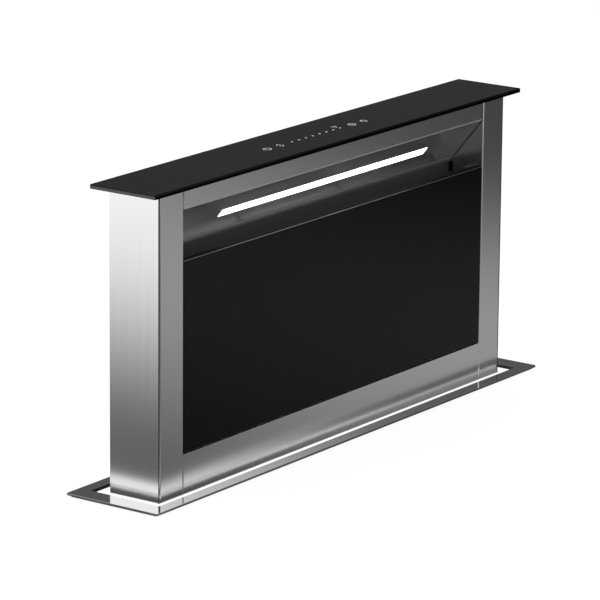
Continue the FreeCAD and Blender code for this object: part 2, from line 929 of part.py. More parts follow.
def filter_places():
    return [(index - (filter_count - 1) / 2) * filter_pitch for index in range(filter_count)]


def filter_partition():
    """Wall behind the filters, with a window for each, and the shelf that carries the drip tray."""
    apron = front + sheet + gap
    points = [
        (apron, shelf_height - shelf_apron),
        (apron, shelf_height),
        (partition_front, shelf_height),
        (partition_front, partition_top),
    ]
    wall = fold_along_x(points, sheet, -1, channel_half)
    windows = []
    for x in filter_places():
        half = filter_length / 2 - filter_window_margin
        z = (filter_bottom + filter_window_margin, filter_bottom + filter_height - filter_window_margin)
        depth = (partition_front - sheet, partition_front + 2 * sheet)
        windows.append(box((x - half, x + half), depth, z))
    return wall.cut(Part.makeCompound(windows))


def drip_tray():
    """Open tray under the filters and the door that catches grease and condensate."""
    half = channel_half - gap
    near = front + 2 * sheet + 2 * gap
    far = partition_front - bend - gap
    z = (shelf_height, shelf_height + tray_height)
    tray = box((-half, half), (near, far), z)
    hollow = box(
        (-half + tray_wall, half - tray_wall),
        (near + tray_wall, far - tray_wall),
        (shelf_height + tray_wall, 2 * shelf_height),
    )
    return tray.cut(hollow)


def filter_limits(x, inset):
    half = filter_length / 2 - inset
    low = filter_bottom + inset
    return (x - half, x + half), (low, filter_bottom + filter_height - inset)


def grease_filter_frames():
    frames = []
    depth = (partition_front - gap - filter_thickness, partition_front - gap)
    for x in filter_places():
        wide, tall = filter_limits(x, 0)
        inner_wide, inner_tall = filter_limits(x, filter_border)
        frame = box(wide, depth, tall).cut(box(inner_wide, depth, inner_tall))
        frames.append(frame)
    return Part.makeCompound(frames)


def grease_filter_meshes():
    meshes = []
    middle = partition_front - gap - filter_thickness / 2
    depth = (middle - filter_mesh_thickness / 2, middle + filter_mesh_thickness / 2)
    for x in filter_places():
        wide, tall = filter_limits(x, filter_border)
        mesh = box(wide, depth, tall)
        grip = Vector(x, 0, tall[1] - filter_border - finger_hole_radius)
        hole = rod(finger_hole_radius, grip + Vector(0, depth[0], 0), grip + Vector(0, depth[1], 0))
        meshes.append(mesh.cut(hole))
    return Part.makeCompound(meshes)


def door_magnets():
    """Magnet catches on the stiles' inner walls, behind the door's top corners."""
    top = door_top - door_frame_inset - gap
    z = (top - magnet_size, top)
    y = (door_frame_back + gap, door_frame_back + gap + magnet_depth)
    return both_sides(box((stile_inner - magnet_reach, stile_inner), y, z))


# ---------------------------------------------------------------- door


def door_glass():
    return box((-door_half, door_half), (front, door_frame_front), (door_bottom, door_top))


def door_frame():
    """A steel pan bonded to the back of the glass, open to the rear."""
    half = door_frame_half
    z = (door_bottom + door_frame_inset, door_top - door_frame_inset / 2)
    pan = box((-half, half), (door_frame_front, door_frame_back), z)
    hollow = box(
        (-half + door_frame_wall, half - door_frame_wall),
        (door_frame_front + door_frame_wall, door_frame_back),
        (z[0] + door_frame_wall, z[1] - door_frame_wall),
    )
    reach = half + door_frame_wall
    holes = rod(hinge_pin_radius, Vector(-reach, hinge_y, hinge_z), Vector(reach, hinge_y, hinge_z))
    return pan.cut(hollow).cut(holes)


def door_hinge_pin():
    """The right-hand pin: its head is inside the door frame, its end in the stile's hole."""
    seat = Vector(door_frame_half - door_frame_wall, hinge_y, hinge_z)
    tip = Vector(stile_inner + 2 * sheet, hinge_y, hinge_z)
    head = rod(hinge_pin_head_radius, seat - Vector(hinge_pin_head, 0, 0), seat)
    return rod(hinge_pin_radius, seat, tip).fuse(head)


# ---------------------------------------------------------------- blower


def scroll_face(inset, reach, y):
    """Outline of the scroll seen along Y, drawn in by an inset, with its throat out to a reach."""
    first = scroll_radius - inset
    last = scroll_radius + 2 * scroll_growth - inset
    low = scroll_bottom + inset
    roof = throat_top - inset
    slant = math.sqrt(1 / 2)

    def at(x, z):
        return Vector(x, y, blower_z + z)

    def quarter(index, centre_x, centre_z, start):
        """One quarter turn of the scroll, from a direction given in quarter turns."""
        radius = scroll_radius + scroll_growth * index - inset
        ends = []
        for step in (0, 1 / 2, 1):
            angle = (start + step) * math.pi / 2
            ends.append(at(centre_x + radius * math.cos(angle), centre_z + radius * math.sin(angle)))
        return Part.Arc(*ends).toShape()

    edges = [
        quarter(0, 0, 0, 0),
        quarter(1, 0, -scroll_growth, 1),
        quarter(2, scroll_growth, -scroll_growth, 2),
        Part.makeLine(at(scroll_growth, low), at(reach, low)),
        Part.makeLine(at(reach, low), at(reach, roof)),
        Part.makeLine(at(reach, roof), at(first, roof)),
        Part.makeLine(at(first, roof), at(first, 0)),
    ]
    return Part.Face(Part.Wire(Part.__sortEdges__(edges)))


def scroll_shell(y_wall, y_open):
    """Half of the scroll casing: a wall at one side, open at the split and at the throat."""
    outward = Vector(0, y_open - y_wall, 0)
    shell = scroll_face(0, throat_x, y_wall).extrude(outward)
    wall = math.copysign(scroll_wall, y_open - y_wall)
    hollow = scroll_face(scroll_wall, throat_x + scroll_wall, y_wall + wall).extrude(outward)
    return shell.cut(hollow)


def volute_back_shell():
    """The chassis-side half, with a bell mouth round the inlet."""
    axis = Vector(0, 0, blower_z)
    lip_start = axis + Vector(0, scroll_back - scroll_wall, 0)
    lip_end = lip_start - Vector(0, inlet_lip, 0)
    lip = rod(inlet_radius + scroll_wall, lip_start, lip_end)
    hole = rod(inlet_radius, axis, lip_end - Vector(0, inlet_lip, 0))
    return scroll_shell(scroll_back, scroll_split).fuse(lip).cut(hole)


def motor_screw_places():
    places = []
    for index in range(motor_screw_count):
        angle = (index + 1 / 2) * 2 * math.pi / motor_screw_count
        x = motor_screw_circle * math.cos(angle)
        places.append(Vector(x, 0, blower_z + motor_screw_circle * math.sin(angle)))
    return places


def volute_front_shell():
    """The motor-side half, with holes for the shaft and the motor's screws."""
    inner = Vector(0, scroll_front + 2 * scroll_wall, 0)
    outer = Vector(0, scroll_front - scroll_wall, 0)
    axis = Vector(0, 0, blower_z)
    holes = [rod(motor_shaft_hole, axis + outer, axis + inner)]
    for place in motor_screw_places():
        holes.append(rod(motor_screw_radius + screw_fit, place + outer, place + inner))
    return scroll_shell(scroll_front, scroll_split).cut(Part.makeCompound(holes))


def blower_motor():
    axis = Vector(0, 0, blower_z)
    seat = axis + Vector(0, scroll_front, 0)
    rear = seat - Vector(0, motor_flange_thickness, 0)
    end = rear - Vector(0, motor_length, 0)
    can = rod(motor_radius, rear, end)
    rim = [e for e in can.Edges if abs(e.CenterOfMass.y - end.y) < gap and len(e.Vertexes) == 1]
    can = can.makeFillet(motor_edge, rim)
    body = can.fuse(rod(motor_flange_radius, seat, rear))
    cuts = [rod(blower_shaft_radius + running_fit, seat, seat - Vector(0, motor_socket, 0))]
    for place in motor_screw_places():
        top = place + Vector(0, scroll_front, 0)
        cuts.append(rod(motor_screw_radius + screw_fit, top, top - Vector(0, motor_flange_thickness, 0)))
    return body.cut(Part.makeCompound(cuts))


def motor_screws():
    screws = []
    seat_y = scroll_front - motor_flange_thickness
    length = motor_flange_thickness + 2 * scroll_wall
    for place in motor_screw_places():
        seat = place + Vector(0, seat_y, 0)
        inward = Vector(0, 1, 0)
        screws.append(
            pan_screw(motor_screw_radius, motor_screw_head_radius, motor_screw_head, seat, inward, length)
        )
    return Part.makeCompound(screws)


def impeller_blade():
    """One forward-curved blade, drawn at the impeller's right and bitten into its disc and ring."""
    inner = impeller_eye
    outer = impeller_radius - blade_bite
    middle = (inner + outer) / 2
    y = impeller_back - blade_bite

    def at(radius, degrees, shift):
        angle = math.radians(degrees) + shift / middle
        return Vector(radius * math.cos(angle), y, blower_z + radius * math.sin(angle))

    half = blade_thickness / 2
    faces = []
    for shift in (-half, half):
        faces.append([at(inner, 0, shift), at(middle, blade_mid_angle, shift), at(outer, blade_tip_angle, shift)])
    low, high = faces
    edges = [
        Part.Arc(*low).toShape(),
        Part.makeLine(low[2], high[2]),
        Part.Arc(*reversed(high)).toShape(),
        Part.makeLine(high[0], low[0]),
    ]
    length = impeller_width - blade_bite - impeller_disc / 2
    return Part.Face(Part.Wire(edges)).extrude(Vector(0, -length, 0))


def impeller():
    """Squirrel-cage wheel: disc, hub and shaft at the motor's side, ring at the inlet."""
    axis = Vector(0, 0, blower_z)
    disc_face = axis + Vector(0, impeller_front + impeller_disc, 0)
    disc_back = axis + Vector(0, impeller_front, 0)
    disc = rod(impeller_radius, disc_back, disc_face)
    hub = rod(impeller_hub_radius, disc_face, disc_face + Vector(0, impeller_hub_length, 0))
    shaft_end = axis + Vector(0, scroll_front - motor_socket + gap, 0)
    shaft = rod(blower_shaft_radius, shaft_end, disc_back)
    ring_back = axis + Vector(0, impeller_back, 0)
    ring_front = ring_back - Vector(0, impeller_disc, 0)
    ring = pipe(impeller_radius, impeller_radius - impeller_ring_width, ring_front, ring_back)
    blade = impeller_blade()
    blades = []
    for index in range(blade_count):
        turned = blade.copy()
        turned.rotate(axis, Vector(0, -1, 0), index * 360 / blade_count)
        blades.append(turned)
    return disc.multiFuse([hub, shaft, ring] + blades)


def outlet_collar():
    """Square plate on the throat with the round spigot that takes the duct."""
    half = throat_height / 2
    plate_x = (throat_x, throat_x + collar_plate)
    y = (outlet_y - scroll_depth / 2, outlet_y + scroll_depth / 2)
    plate = box(plate_x, y, (outlet_z - half, outlet_z + half))
    start = Vector(throat_x, outlet_y, outlet_z)
    end = Vector(collar_end, outlet_y, outlet_z)
    bore = rod(collar_radius - collar_wall, start, end)
    return plate.fuse(rod(collar_radius, start, end)).cut(bore).cut(damper_rod())


def damper_rod():
    reach = Vector(0, 0, collar_radius - damper_rod_inset)
    centre = Vector(damper_x, outlet_y, outlet_z)
    return rod(damper_rod_radius, centre - reach, centre + reach)


def damper_flap(side):
    """Half of the round flap; side -1 is the front half. Its knuckles alternate with its pair's."""
    centre = Vector(damper_x, outlet_y, outlet_z)
    thick = Vector(flap_thickness / 2, 0, 0)
    disc = rod(flap_radius, centre - thick, centre + thick)
    reach = 2 * flap_radius
    keep = box(
        (damper_x - reach, damper_x + reach),
        (outlet_y + side * damper_rod_radius * 3 / 2, outlet_y + side * reach),
        (outlet_z - reach, outlet_z + reach),
    )
    flap = disc.common(keep)
    knuckles = []
    notches = []
    for index in range(knuckle_count):
        low = outlet_z + (index - knuckle_count / 2) * knuckle_length
        start = Vector(damper_x, outlet_y, low + knuckle_gap / 2)
        end = Vector(damper_x, outlet_y, low + knuckle_length - knuckle_gap / 2)
        if (index % 2 == 0) == (side < 0):
            knuckles.append(rod(knuckle_radius, start, end))
        else:
            slack = Vector(0, 0, knuckle_gap)
            notches.append(rod(knuckle_radius + knuckle_gap, start - slack, end + slack))
    bore = rod(damper_rod_radius + running_fit, centre - Vector(0, 0, reach), centre + Vector(0, 0, reach))
    return flap.cut(Part.makeCompound(notches)).multiFuse(knuckles).cut(bore)


# ---------------------------------------------------------------- electrics


def control_box():
    """Open-fronted electrics box on the chassis, with a hole in its floor for the mains gland."""
    y = (chassis_front, chassis_front - control_box_depth)
    shell = box(control_box_x, y, control_box_z)
    wall = control_box_wall
    inner_x = (control_box_x[0] + wall, control_box_x[1] - wall)
    inner_z = (control_box_z[0] + wall, control_box_z[1] - wall)
    shell = shell.cut(box(inner_x, (y[0] - wall, y[1]), inner_z))
    top = gland_axis(control_box_z[0] + 2 * wall)
    return shell.cut(rod(gland_radius, gland_axis(control_box_z[0] - wall), top))


def control_box_lid():
    y = chassis_front - control_box_depth
    return box(control_box_x, (y, y - control_lid), control_box_z)


def control_board():
    """Circuit board on the box's back wall, with a row of relays."""
    inset = control_box_wall + control_board_margin
    x = (control_box_x[0] + inset, control_box_x[1] - inset)
    z = (control_box_z[0] + inset, control_box_z[1] - inset)
    seat = chassis_front - control_box_wall - control_board_stand
    board = box(x, (seat, seat - control_board_thickness), z)
    parts = []
    for index in range(relay_count):
        low = x[0] + relay_size / 2 + index * relay_pitch
        face = seat - control_board_thickness
        parts.append(
            box(
                (low, low + relay_size),
                (face, face - relay_height),
                (z[1] - 2 * relay_size, z[1] - relay_size),
            )
        )
    for corner_x in (x[0] + control_board_margin, x[1] - control_board_margin):
        for corner_z in (z[0] + control_board_margin, z[1] - control_board_margin):
            foot = Vector(corner_x, chassis_front - control_box_wall, corner_z)
            parts.append(rod(control_board_stand / 2, foot, Vector(corner_x, seat, corner_z)))
    return board.multiFuse(parts)


def gland_axis(z):
    """A point on the mains gland's axis."""
    return Vector(control_box_x[0] + gland_offset, chassis_front - control_box_depth / 2, z)


def mains_gland():
    """Cable gland through the box's floor: threaded body, outer nut and inner nut."""
    floor = control_box_z[0]
    top = floor + control_box_wall + gland_nut
    body = rod(gland_radius, gland_axis(top - gland_length), gland_axis(top))
    outer_nut = rod(gland_nut_radius, gland_axis(floor - gland_nut), gland_axis(floor))
    inner_nut = rod(gland_nut_radius, gland_axis(top - gland_nut), gland_axis(top))
    bore = rod(gland_bore, gland_axis(floor - gland_length), gland_axis(top + gland_nut))
    return body.multiFuse([outer_nut, inner_nut]).cut(bore)


# ---------------------------------------------------------------- nodes


def pair(name, right):
    """Two nodes from a right-hand piece."""
    return {name + "_left": mirrored(right), name + "_right": right}


nodes = {
    "worktop_flange": worktop_flange(),
    "worktop_gasket": worktop_gasket(),
    "chassis_front_panel": chassis_front_panel(),
    "chassis_back_panel": chassis_panel(1),
    "chassis_floor": chassis_floor(),
    "clamp_brackets": clamp_brackets(),
    "clamp_screws": clamp_screws(),
    "neck_glides": neck_glides(),
    "mast_feet": both_sides(mast_foot()),
    "mast_heads": both_sides(mast_head()),
    "idler_axles": both_sides(idler_axle()),
    "drive_pulleys": both_sides(drive_pulley()),
    "drive_shaft": drive_shaft(),
    "shaft_bearings": both_sides(shaft_bearing()),
    "lift_gearbox": lift_gearbox(),
    "lift_motor": lift_motor(),
    "carriages": both_sides(carriage()),
    "belt_clamps": both_sides(belt_clamp()),
    "top_rail": top_rail(),
    "bottom_rail": bottom_rail(),
    "back_panel": back_panel(),
    "top_plate": top_plate(),
    "touch_board": touch_board(),
    "cap_glass": cap_glass(),
    "led_diffuser": led_diffuser(),
    "led_channel": led_channel(),
    "led_board": led_board(),
    "filter_partition": filter_partition(),
    "drip_tray": drip_tray(),
    "grease_filter_frames": grease_filter_frames(),
    "grease_filter_meshes": grease_filter_meshes(),
    "door_magnets": door_magnets(),
    "door_glass": door_glass(),
    "door_frame": door_frame(),
    "door_hinge_pins": both_sides(door_hinge_pin()),
    "volute_back_shell": volute_back_shell(),
    "volute_front_shell": volute_front_shell(),
    "blower_motor": blower_motor(),
    "motor_screws": motor_screws(),
    "impeller": impeller(),
    "outlet_collar": outlet_collar(),
    "damper_rod": damper_rod(),
    "damper_flap_front": damper_flap(-1),
    "damper_flap_rear": damper_flap(1),
    "control_box": control_box(),
    "control_box_lid": control_box_lid(),
    "control_board": control_board(),
    "mains_gland": mains_gland(),
}
nodes.update(pair("chassis_end", chassis_end()))
nodes.update(pair("mast", mast()))
nodes.update(pair("idler_pulley", idler_pulley()))
nodes.update(pair("lift_belt", lift_belt()))
nodes.update(pair("side_panel", side_panel()))
nodes.update(pair("front_stile", front_stile()))

os.makedirs("parts", exist_ok=True)
for name, shape in nodes.items():
    shape.exportStep("parts/" + name + ".step")
    limits = shape.BoundBox
    print(
        f"{name:22s} solids {len(shape.Solids)} valid {shape.isValid()} volume {shape.Volume / 1000:9.2f} cm3 "
        f"x {limits.XMin:8.1f} {limits.XMax:8.1f} y {limits.YMin:7.1f} {limits.YMax:7.1f} "
        f"z {limits.ZMin:7.1f} {limits.ZMax:7.1f}"
    )
print(len(nodes), "nodes")
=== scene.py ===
# %% [markdown]
# # Dressing a worktop downdraft vent
# The real object is a steel tower that rises out of a kitchen worktop and draws the steam down
# into a blower under it. The construction model is packed already, so this lesson never moves or
# resizes it. It gives every piece its finish, and builds the pieces that need finer forms:
# the glass, the filters, the belts, the screws and the motors.
# All lengths are in metres. X runs along the tower, -Y is its front, and z = 0 is the worktop.

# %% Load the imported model
import math

import bmesh
import bpy
from mathutils import Matrix, Vector


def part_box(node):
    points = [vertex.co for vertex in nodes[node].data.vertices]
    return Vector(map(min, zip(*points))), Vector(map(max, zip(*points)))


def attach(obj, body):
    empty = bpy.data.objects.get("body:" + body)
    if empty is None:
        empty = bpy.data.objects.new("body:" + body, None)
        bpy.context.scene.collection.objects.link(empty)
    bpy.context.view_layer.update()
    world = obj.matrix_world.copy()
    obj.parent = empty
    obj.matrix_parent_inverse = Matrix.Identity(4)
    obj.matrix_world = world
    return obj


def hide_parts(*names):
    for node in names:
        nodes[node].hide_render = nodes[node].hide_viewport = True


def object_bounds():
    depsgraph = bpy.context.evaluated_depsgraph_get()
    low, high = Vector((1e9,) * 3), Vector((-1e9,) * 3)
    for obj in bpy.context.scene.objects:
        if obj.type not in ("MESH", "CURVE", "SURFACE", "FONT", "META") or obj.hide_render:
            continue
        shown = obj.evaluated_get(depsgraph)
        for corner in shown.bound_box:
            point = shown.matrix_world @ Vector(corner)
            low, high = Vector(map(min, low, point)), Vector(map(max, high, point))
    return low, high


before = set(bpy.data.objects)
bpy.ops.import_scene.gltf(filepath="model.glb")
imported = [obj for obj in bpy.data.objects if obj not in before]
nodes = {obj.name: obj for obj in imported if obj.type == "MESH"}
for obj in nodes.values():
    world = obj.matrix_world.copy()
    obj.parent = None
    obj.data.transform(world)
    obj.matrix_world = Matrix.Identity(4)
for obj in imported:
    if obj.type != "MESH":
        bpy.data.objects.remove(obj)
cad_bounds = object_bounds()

# %% [markdown]
# ## Camera
# The photograph was taken from the front left, a little above the worktop. Its angles, distance
# and focal length come from fitting the tower's corners. A long lens far away keeps the vertical
# edges nearly parallel, as they are there.

# %% Set the camera
SENSOR = 36.0
LENS = 249.66
AZIMUTH = math.radians(54.30)
ELEVATION = math.radians(14.65)
ROLL = -0.0087298
CAMERA_PLACE = (-4.4174, -3.1492, 1.5993)
level_ahead = Vector((math.sin(AZIMUTH), math.cos(AZIMUTH), 0))
ahead = level_ahead * math.cos(ELEVATION) + Vector((0, 0, -math.sin(ELEVATION)))
level = Vector((math.cos(AZIMUTH), -math.sin(AZIMUTH), 0))
down = ahead.cross(level)
across = level * math.cos(ROLL) + down * math.sin(ROLL)
up = ahead.cross(across) * -1
camera_data = bpy.data.cameras.new("camera")
camera_data.sensor_width = SENSOR
camera_data.lens = LENS
camera = bpy.data.objects.new("camera", camera_data)
bpy.context.scene.collection.objects.link(camera)
place = Matrix((across, up, ahead * -1)).transposed().to_4x4()
place.translation = CAMERA_PLACE
camera.matrix_world = place
bpy.context.scene.camera = camera
bpy.context.scene.view_settings.view_transform = "Standard"
print("camera looks along", [round(v, 3) for v in ahead])

# %% [markdown]
# ## Node graphs as Python
# A finish is a small sum: a base value plus a share of some noise. Wrapping a socket in a class
# with operators lets that sum be written as it reads, and one method makes every other node.

# %% Wire and Graph
class Wire:
    """A node's output that Python's operators work on."""

    def __init__(self, graph, socket):
        self.graph = graph
        self.socket = socket

    def maths(self, operation, first, second):
        made = self.graph.node("ShaderNodeMath", {"operation": operation}, {0: first, 1: second})
        return self.graph.out(made)

    def __add__(self, other):
        return self.maths("ADD", self, other)

    def __sub__(self, other):
        return self.maths("SUBTRACT", self, other)

    def __rsub__(self, other):
        return self.maths("SUBTRACT", other, self)

    def __mul__(self, other):
        return self.maths("MULTIPLY", self, other)

    __radd__ = __add__
    __rmul__ = __mul__


class Graph:
    """Adds nodes to the tree of a material, of the world or of Geometry Nodes."""

    def __init__(self, tree):
        self.tree = tree

    def node(self, kind, settings=None, values=None):
        made = self.tree.nodes.new(kind)
        for name, value in (settings or {}).items():
            setattr(made, name, value)
        for key, value in (values or {}).items():
            self.feed(made.inputs[key], value)
        return made

    def feed(self, socket, value):
        if isinstance(value, Wire):
            self.tree.links.new(value.socket, socket)
        else:
            socket.default_value = value

    def out(self, made, key=0):
        return Wire(self, made.outputs[key])

    def ramp(self, value, start, end, low=0.0, high=1.0):
        """Carries a value smoothly from low to high between two limits."""
        limits = {"Value": value, "From Min": start, "From Max": end, "To Min": low, "To Max": high}
        return self.out(self.node("ShaderNodeMapRange", {"interpolation_type": "SMOOTHSTEP"}, limits))


print("graph helpers ready")

# %% [markdown]
# ## Finishes
# Every finish starts from the Principled shader. Object coordinates carry the patterns, and a
# piece's object sits at the origin, so a pattern stays where it is when the piece is posed.

# %% Finish
def grey(value):
    return (value, value, value, 1)


class Finish(Graph):
    """A material. Values that are the same all over are set on the shader's own sockets."""

    def __init__(self, name, colour, roughness, **uniform):
        self.material = bpy.data.materials.new(name)
        self.material.use_nodes = True
        super().__init__(self.material.node_tree)
        self.shader = self.tree.nodes["Principled BSDF"]
        self.place = self.out(self.node("ShaderNodeTexCoord"), "Object")
        self.feed(self.shader.inputs["Base Color"], colour)
        self.feed(self.shader.inputs["Roughness"], roughness)
        for key, value in uniform.items():
            self.feed(self.shader.inputs[key.replace("_", " ")], value)

    def noise(self, stretch, detail=3.0):
        """Noise with its own frequency along each axis, per metre."""
        spread = self.node("ShaderNodeMapping", None, {"Vector": self.place, "Scale": stretch})
        grain = {"Vector": self.out(spread), "Scale": 1.0, "Detail": detail}
        return self.out(self.node("ShaderNodeTexNoise", None, grain), "Fac")

    def cells(self, frequency):
        """A random value for each cell of a crystal pattern."""
        made = self.node("ShaderNodeTexVoronoi", None, {"Vector": self.place, "Scale": frequency})
        parts = self.node("ShaderNodeSeparateColor", None, {"Color": self.out(made, "Color")})
        return self.out(parts)

    def mixed(self, first, second, share):
        """A colour between two colours."""
        values = {0: share, 6: first, 7: second}
        return self.out(self.node("ShaderNodeMix", {"data_type": "RGBA"}, values), 2)

    def shade(self, first, second, share):
        """Base colour between two colours."""
        self.feed(self.shader.inputs["Base Color"], self.mixed(first, second, share))

    def rough(self, low, high, share):
        self.feed(self.shader.inputs["Roughness"], share * (high - low) + low)

    def bump(self, height, strength, depth):
        values = {"Height": height, "Strength": strength, "Distance": depth}
        made = self.node("ShaderNodeBump", None, values)
        self.feed(self.shader.inputs["Normal"], self.out(made))


print("finish helper ready")

# %% [markdown]
# ## Steel
# The tower is satin stainless steel, brushed along each sheet's length. The brushing is noise that
# is drawn out a few hundred times along the grain. It hardly shows as lines from a step away, but
# it spreads the reflections, which is why the panels look soft while their edges are crisp.

# %% Steel finishes
STEEL = ((0.76, 0.76, 0.765, 1), (0.84, 0.84, 0.845, 1))
# Painted shade: the near black that the top rail takes below the lamp cove.
RECESS_SHADE = (0.035, 0.035, 0.036, 1)
ALONG_X = (4, 700, 700)
GRAIN_BUMP = (0.05, 0.0001)  # strength and height


def brushed_steel(name, stretch, rough_low, rough_high):
    made = Finish(name, STEEL[0], rough_low, Metallic=1.0)
    grain = made.noise(stretch)
    made.shade(*STEEL, grain)
    made.rough(rough_low, rough_high, grain)
    made.bump(grain, *GRAIN_BUMP)
    return made.material


steel_along_x = brushed_steel("steel_brushed_along", ALONG_X, 0.17, 0.23)
steel_along_z = brushed_steel("steel_brushed_upright", (700, 700, 4), 0.17, 0.23)
steel_flange = brushed_steel("steel_flange_polished", (5, 500, 500), 0.06, 0.10)


def cove_steel(bright_above, dark_below):
    """The top rail: brushed steel, darkened below the foot of the lamp cove's slope as painted shade of
    the recess.
    """
    made = Finish("steel_top_rail", STEEL[0], 0.2)
    grain = made.noise(ALONG_X)
    height = made.out(made.node("ShaderNodeSeparateXYZ", None, {0: made.place}), "Z")
    # painted shade of the recess under the lamp, from the slope's foot downwards
    recess_shade = made.ramp(height, bright_above, dark_below)
    made.shade(made.mixed(*STEEL, grain), RECESS_SHADE, recess_shade)
    made.feed(made.shader.inputs["Metallic"], 1 - recess_shade)
    made.rough(0.2, 0.5, recess_shade + (grain - 0.5) * 0.15)
    made.bump(grain, *GRAIN_BUMP)
    return made.material


rail_low, rail_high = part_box("top_rail")
cove_end = rail_low.z + 0.029  # where the slope meets its apron
steel_rail = cove_steel(cove_end + 0.012, cove_end - 0.003)
print("steel ready")

# %% Zinc and machined metals
def zinc_sheet():
    """Hot dipped steel: large pale crystals, each with its own shine."""
    made = Finish("zinc_coated_sheet", grey(0.5), 0.4, Metallic=1.0)
    crystal = made.cells(75.0)
    film = made.noise((30, 30, 30), 4.0)
    made.shade((0.44, 0.46, 0.48, 1), (0.62, 0.64, 0.66, 1), crystal * 0.6 + film * 0.4)
    made.rough(0.32, 0.52, crystal)
    made.bump(film, 0.04, 0.0004)
    return made.material


def machined_metal(name, colour, dark, low, high, stretch, metallic=1.0):
    made = Finish(name, colour, low, Metallic=metallic)
    grain = made.noise(stretch)
    made.shade(dark, colour, grain)
    made.rough(low, high, grain)
    made.bump(grain, 0.06, 0.0001)
    return made.material


EVEN = (600, 600, 600)
CUT = (60, 60, 900)
zinc = zinc_sheet()
aluminium = machined_metal("aluminium_satin", grey(0.78), grey(0.62), 0.28, 0.4, (600, 600, 9))
bright_zinc = machined_metal("screw_zinc", (0.7, 0.7, 0.66, 1), grey(0.5), 0.2, 0.34, (250, 250, 250))
filter_metal = machined_metal("aluminium_filter", grey(0.86), grey(0.72), 0.3, 0.42, EVEN)
strip_metal = machined_metal("aluminium_strip", grey(0.36), grey(0.28), 0.3, 0.42, (9, 600, 600))
# The cut edge is rougher than the sheet's face, and its dark grey is painted shade.
cut_edge_and_shade = machined_metal("steel_cut_edge", grey(0.16), grey(0.09), 0.3, 0.45, CUT)
# The fold's pale, partly matt finish is painted light: it makes the bright line that the tower mirrors.
fold_painted_light = machined_metal("steel_fold", grey(0.95), grey(0.85), 0.5, 0.6, CUT, 0.25)
cast_metal = machined_metal("cast_housing", grey(0.5), grey(0.34), 0.42, 0.62, (900, 900, 900))
print("other metals ready")

# %% [markdown]
# ## Glass, plastics and the rest
# The black glass is printed on its back, so from the front it is one deep black with a clear,
# sharp shine. Plastics have a fine moulded grain, rubber is matt, and the lamp's lens glows.

# %% Other finishes
def paler(colour, factor):
    return tuple(v * factor for v in colour[:3]) + (1,)


def black_glass(name, colour, shine):
    made = Finish(name, colour, 0.04, Specular_IOR_Level=shine)
    smear = made.noise((9, 9, 9), 4.0)
    made.rough(0.03, 0.07, smear)
    made.shade(colour, paler(colour, 1.25), smear)
    return made.material


def moulded(name, colour, rough_low, rough_high, frequency, depth, **uniform):
    made = Finish(name, colour, rough_low, **uniform)
    grain = made.noise((frequency, frequency, frequency))
    cloud = made.noise((14, 14, 14))
    made.shade(colour, paler(colour, 1.3), cloud)
    made.rough(rough_low, rough_high, grain)
    made.bump(grain, 0.25, depth)
    return made.material


def lamp_lens():
    made = Finish("lamp_lens", grey(0.95), 0.35, Emission_Strength=7.0)
    glow = made.mixed(grey(1.0), (1, 0.99, 0.97, 1), made.noise((3, 400, 400), 2.0))
    made.feed(made.shader.inputs["Emission Color"], glow)
    return made.material


cap_black = black_glass("glass_black_cap", (0.0042, 0.0038, 0.0042, 1), 0.24)
door_black = black_glass("glass_black_door", (0.0018, 0.0016, 0.0018, 1), 0.16)
edge_black = black_glass("glass_edge_black", (0.0006, 0.0006, 0.0006, 1), 0.02)
edge_ground = black_glass("glass_edge_ground", (0.034, 0.034, 0.035, 1), 0.5)
lens = lamp_lens()
print_pale = moulded("touch_print", grey(0.72), 0.4, 0.5, 2000, 0.00001)
plastic = moulded("plastic_black", (0.018, 0.018, 0.02, 1), 0.38, 0.5, 1800, 0.00008)
nylon = moulded("nylon_white", (0.74, 0.73, 0.68, 1), 0.4, 0.5, 900, 0.00005)
rubber = moulded("rubber_black", (0.02, 0.02, 0.02, 1), 0.62, 0.78, 1200, 0.0001)
lacquer = moulded("board_green", (0.01, 0.09, 0.035, 1), 0.22, 0.34, 700, 0.00003)
motor_paint = moulded("motor_paint", (0.035, 0.037, 0.042, 1), 0.35, 0.5, 800, 0.00006)
frame_paint = moulded(
    "door_frame_paint", (0.008, 0.008, 0.009, 1), 0.6, 0.75, 900, 0.00005, Specular_IOR_Level=0.01
)
magnet_plate = machined_metal("magnet_nickel", grey(0.45), grey(0.3), 0.25, 0.4, (300, 300, 300))
print(len(bpy.data.materials), "finishes")

# %% [markdown]
# ## Worktop and studio
# The vent stands in a worktop, so the floor of the picture is the worktop itself, with the hole
# that the tower rises through. It is white to the camera, and it reaches only toward the camera of
# the photograph, so that other views show what hangs under it. The steel needs something to
# reflect, as in any product studio: a grey floor that gets darker with the distance, a bright card
# at the back left and one at the front right. These show only in reflections.

# %% Stage helpers
def stage_plane(name, corners, faces, material, **visible):
    mesh = bpy.data.meshes.new(name)
    mesh.from_pydata([tuple(corner) for corner in corners], [], faces)
    mesh.materials.append(material)
    made = bpy.data.objects.new(name, mesh)
    bpy.context.scene.collection.objects.link(made)
    for key in ("camera", "diffuse", "glossy", "transmission", "shadow"):
        setattr(made, "visible_" + key, visible.get(key, False))
    return made


SIGNS = ((-1, -1), (1, -1), (1, 1), (-1, 1))
WHOLE = [(0, 1, 2, 3)]
RING = [(4, 5, 1, 0), (5, 6, 2, 1), (6, 7, 3, 2), (7, 4, 0, 3)]


def rectangle(half_x, half_y, z):
    return [(a * half_x, b * half_y, z) for a, b in SIGNS]


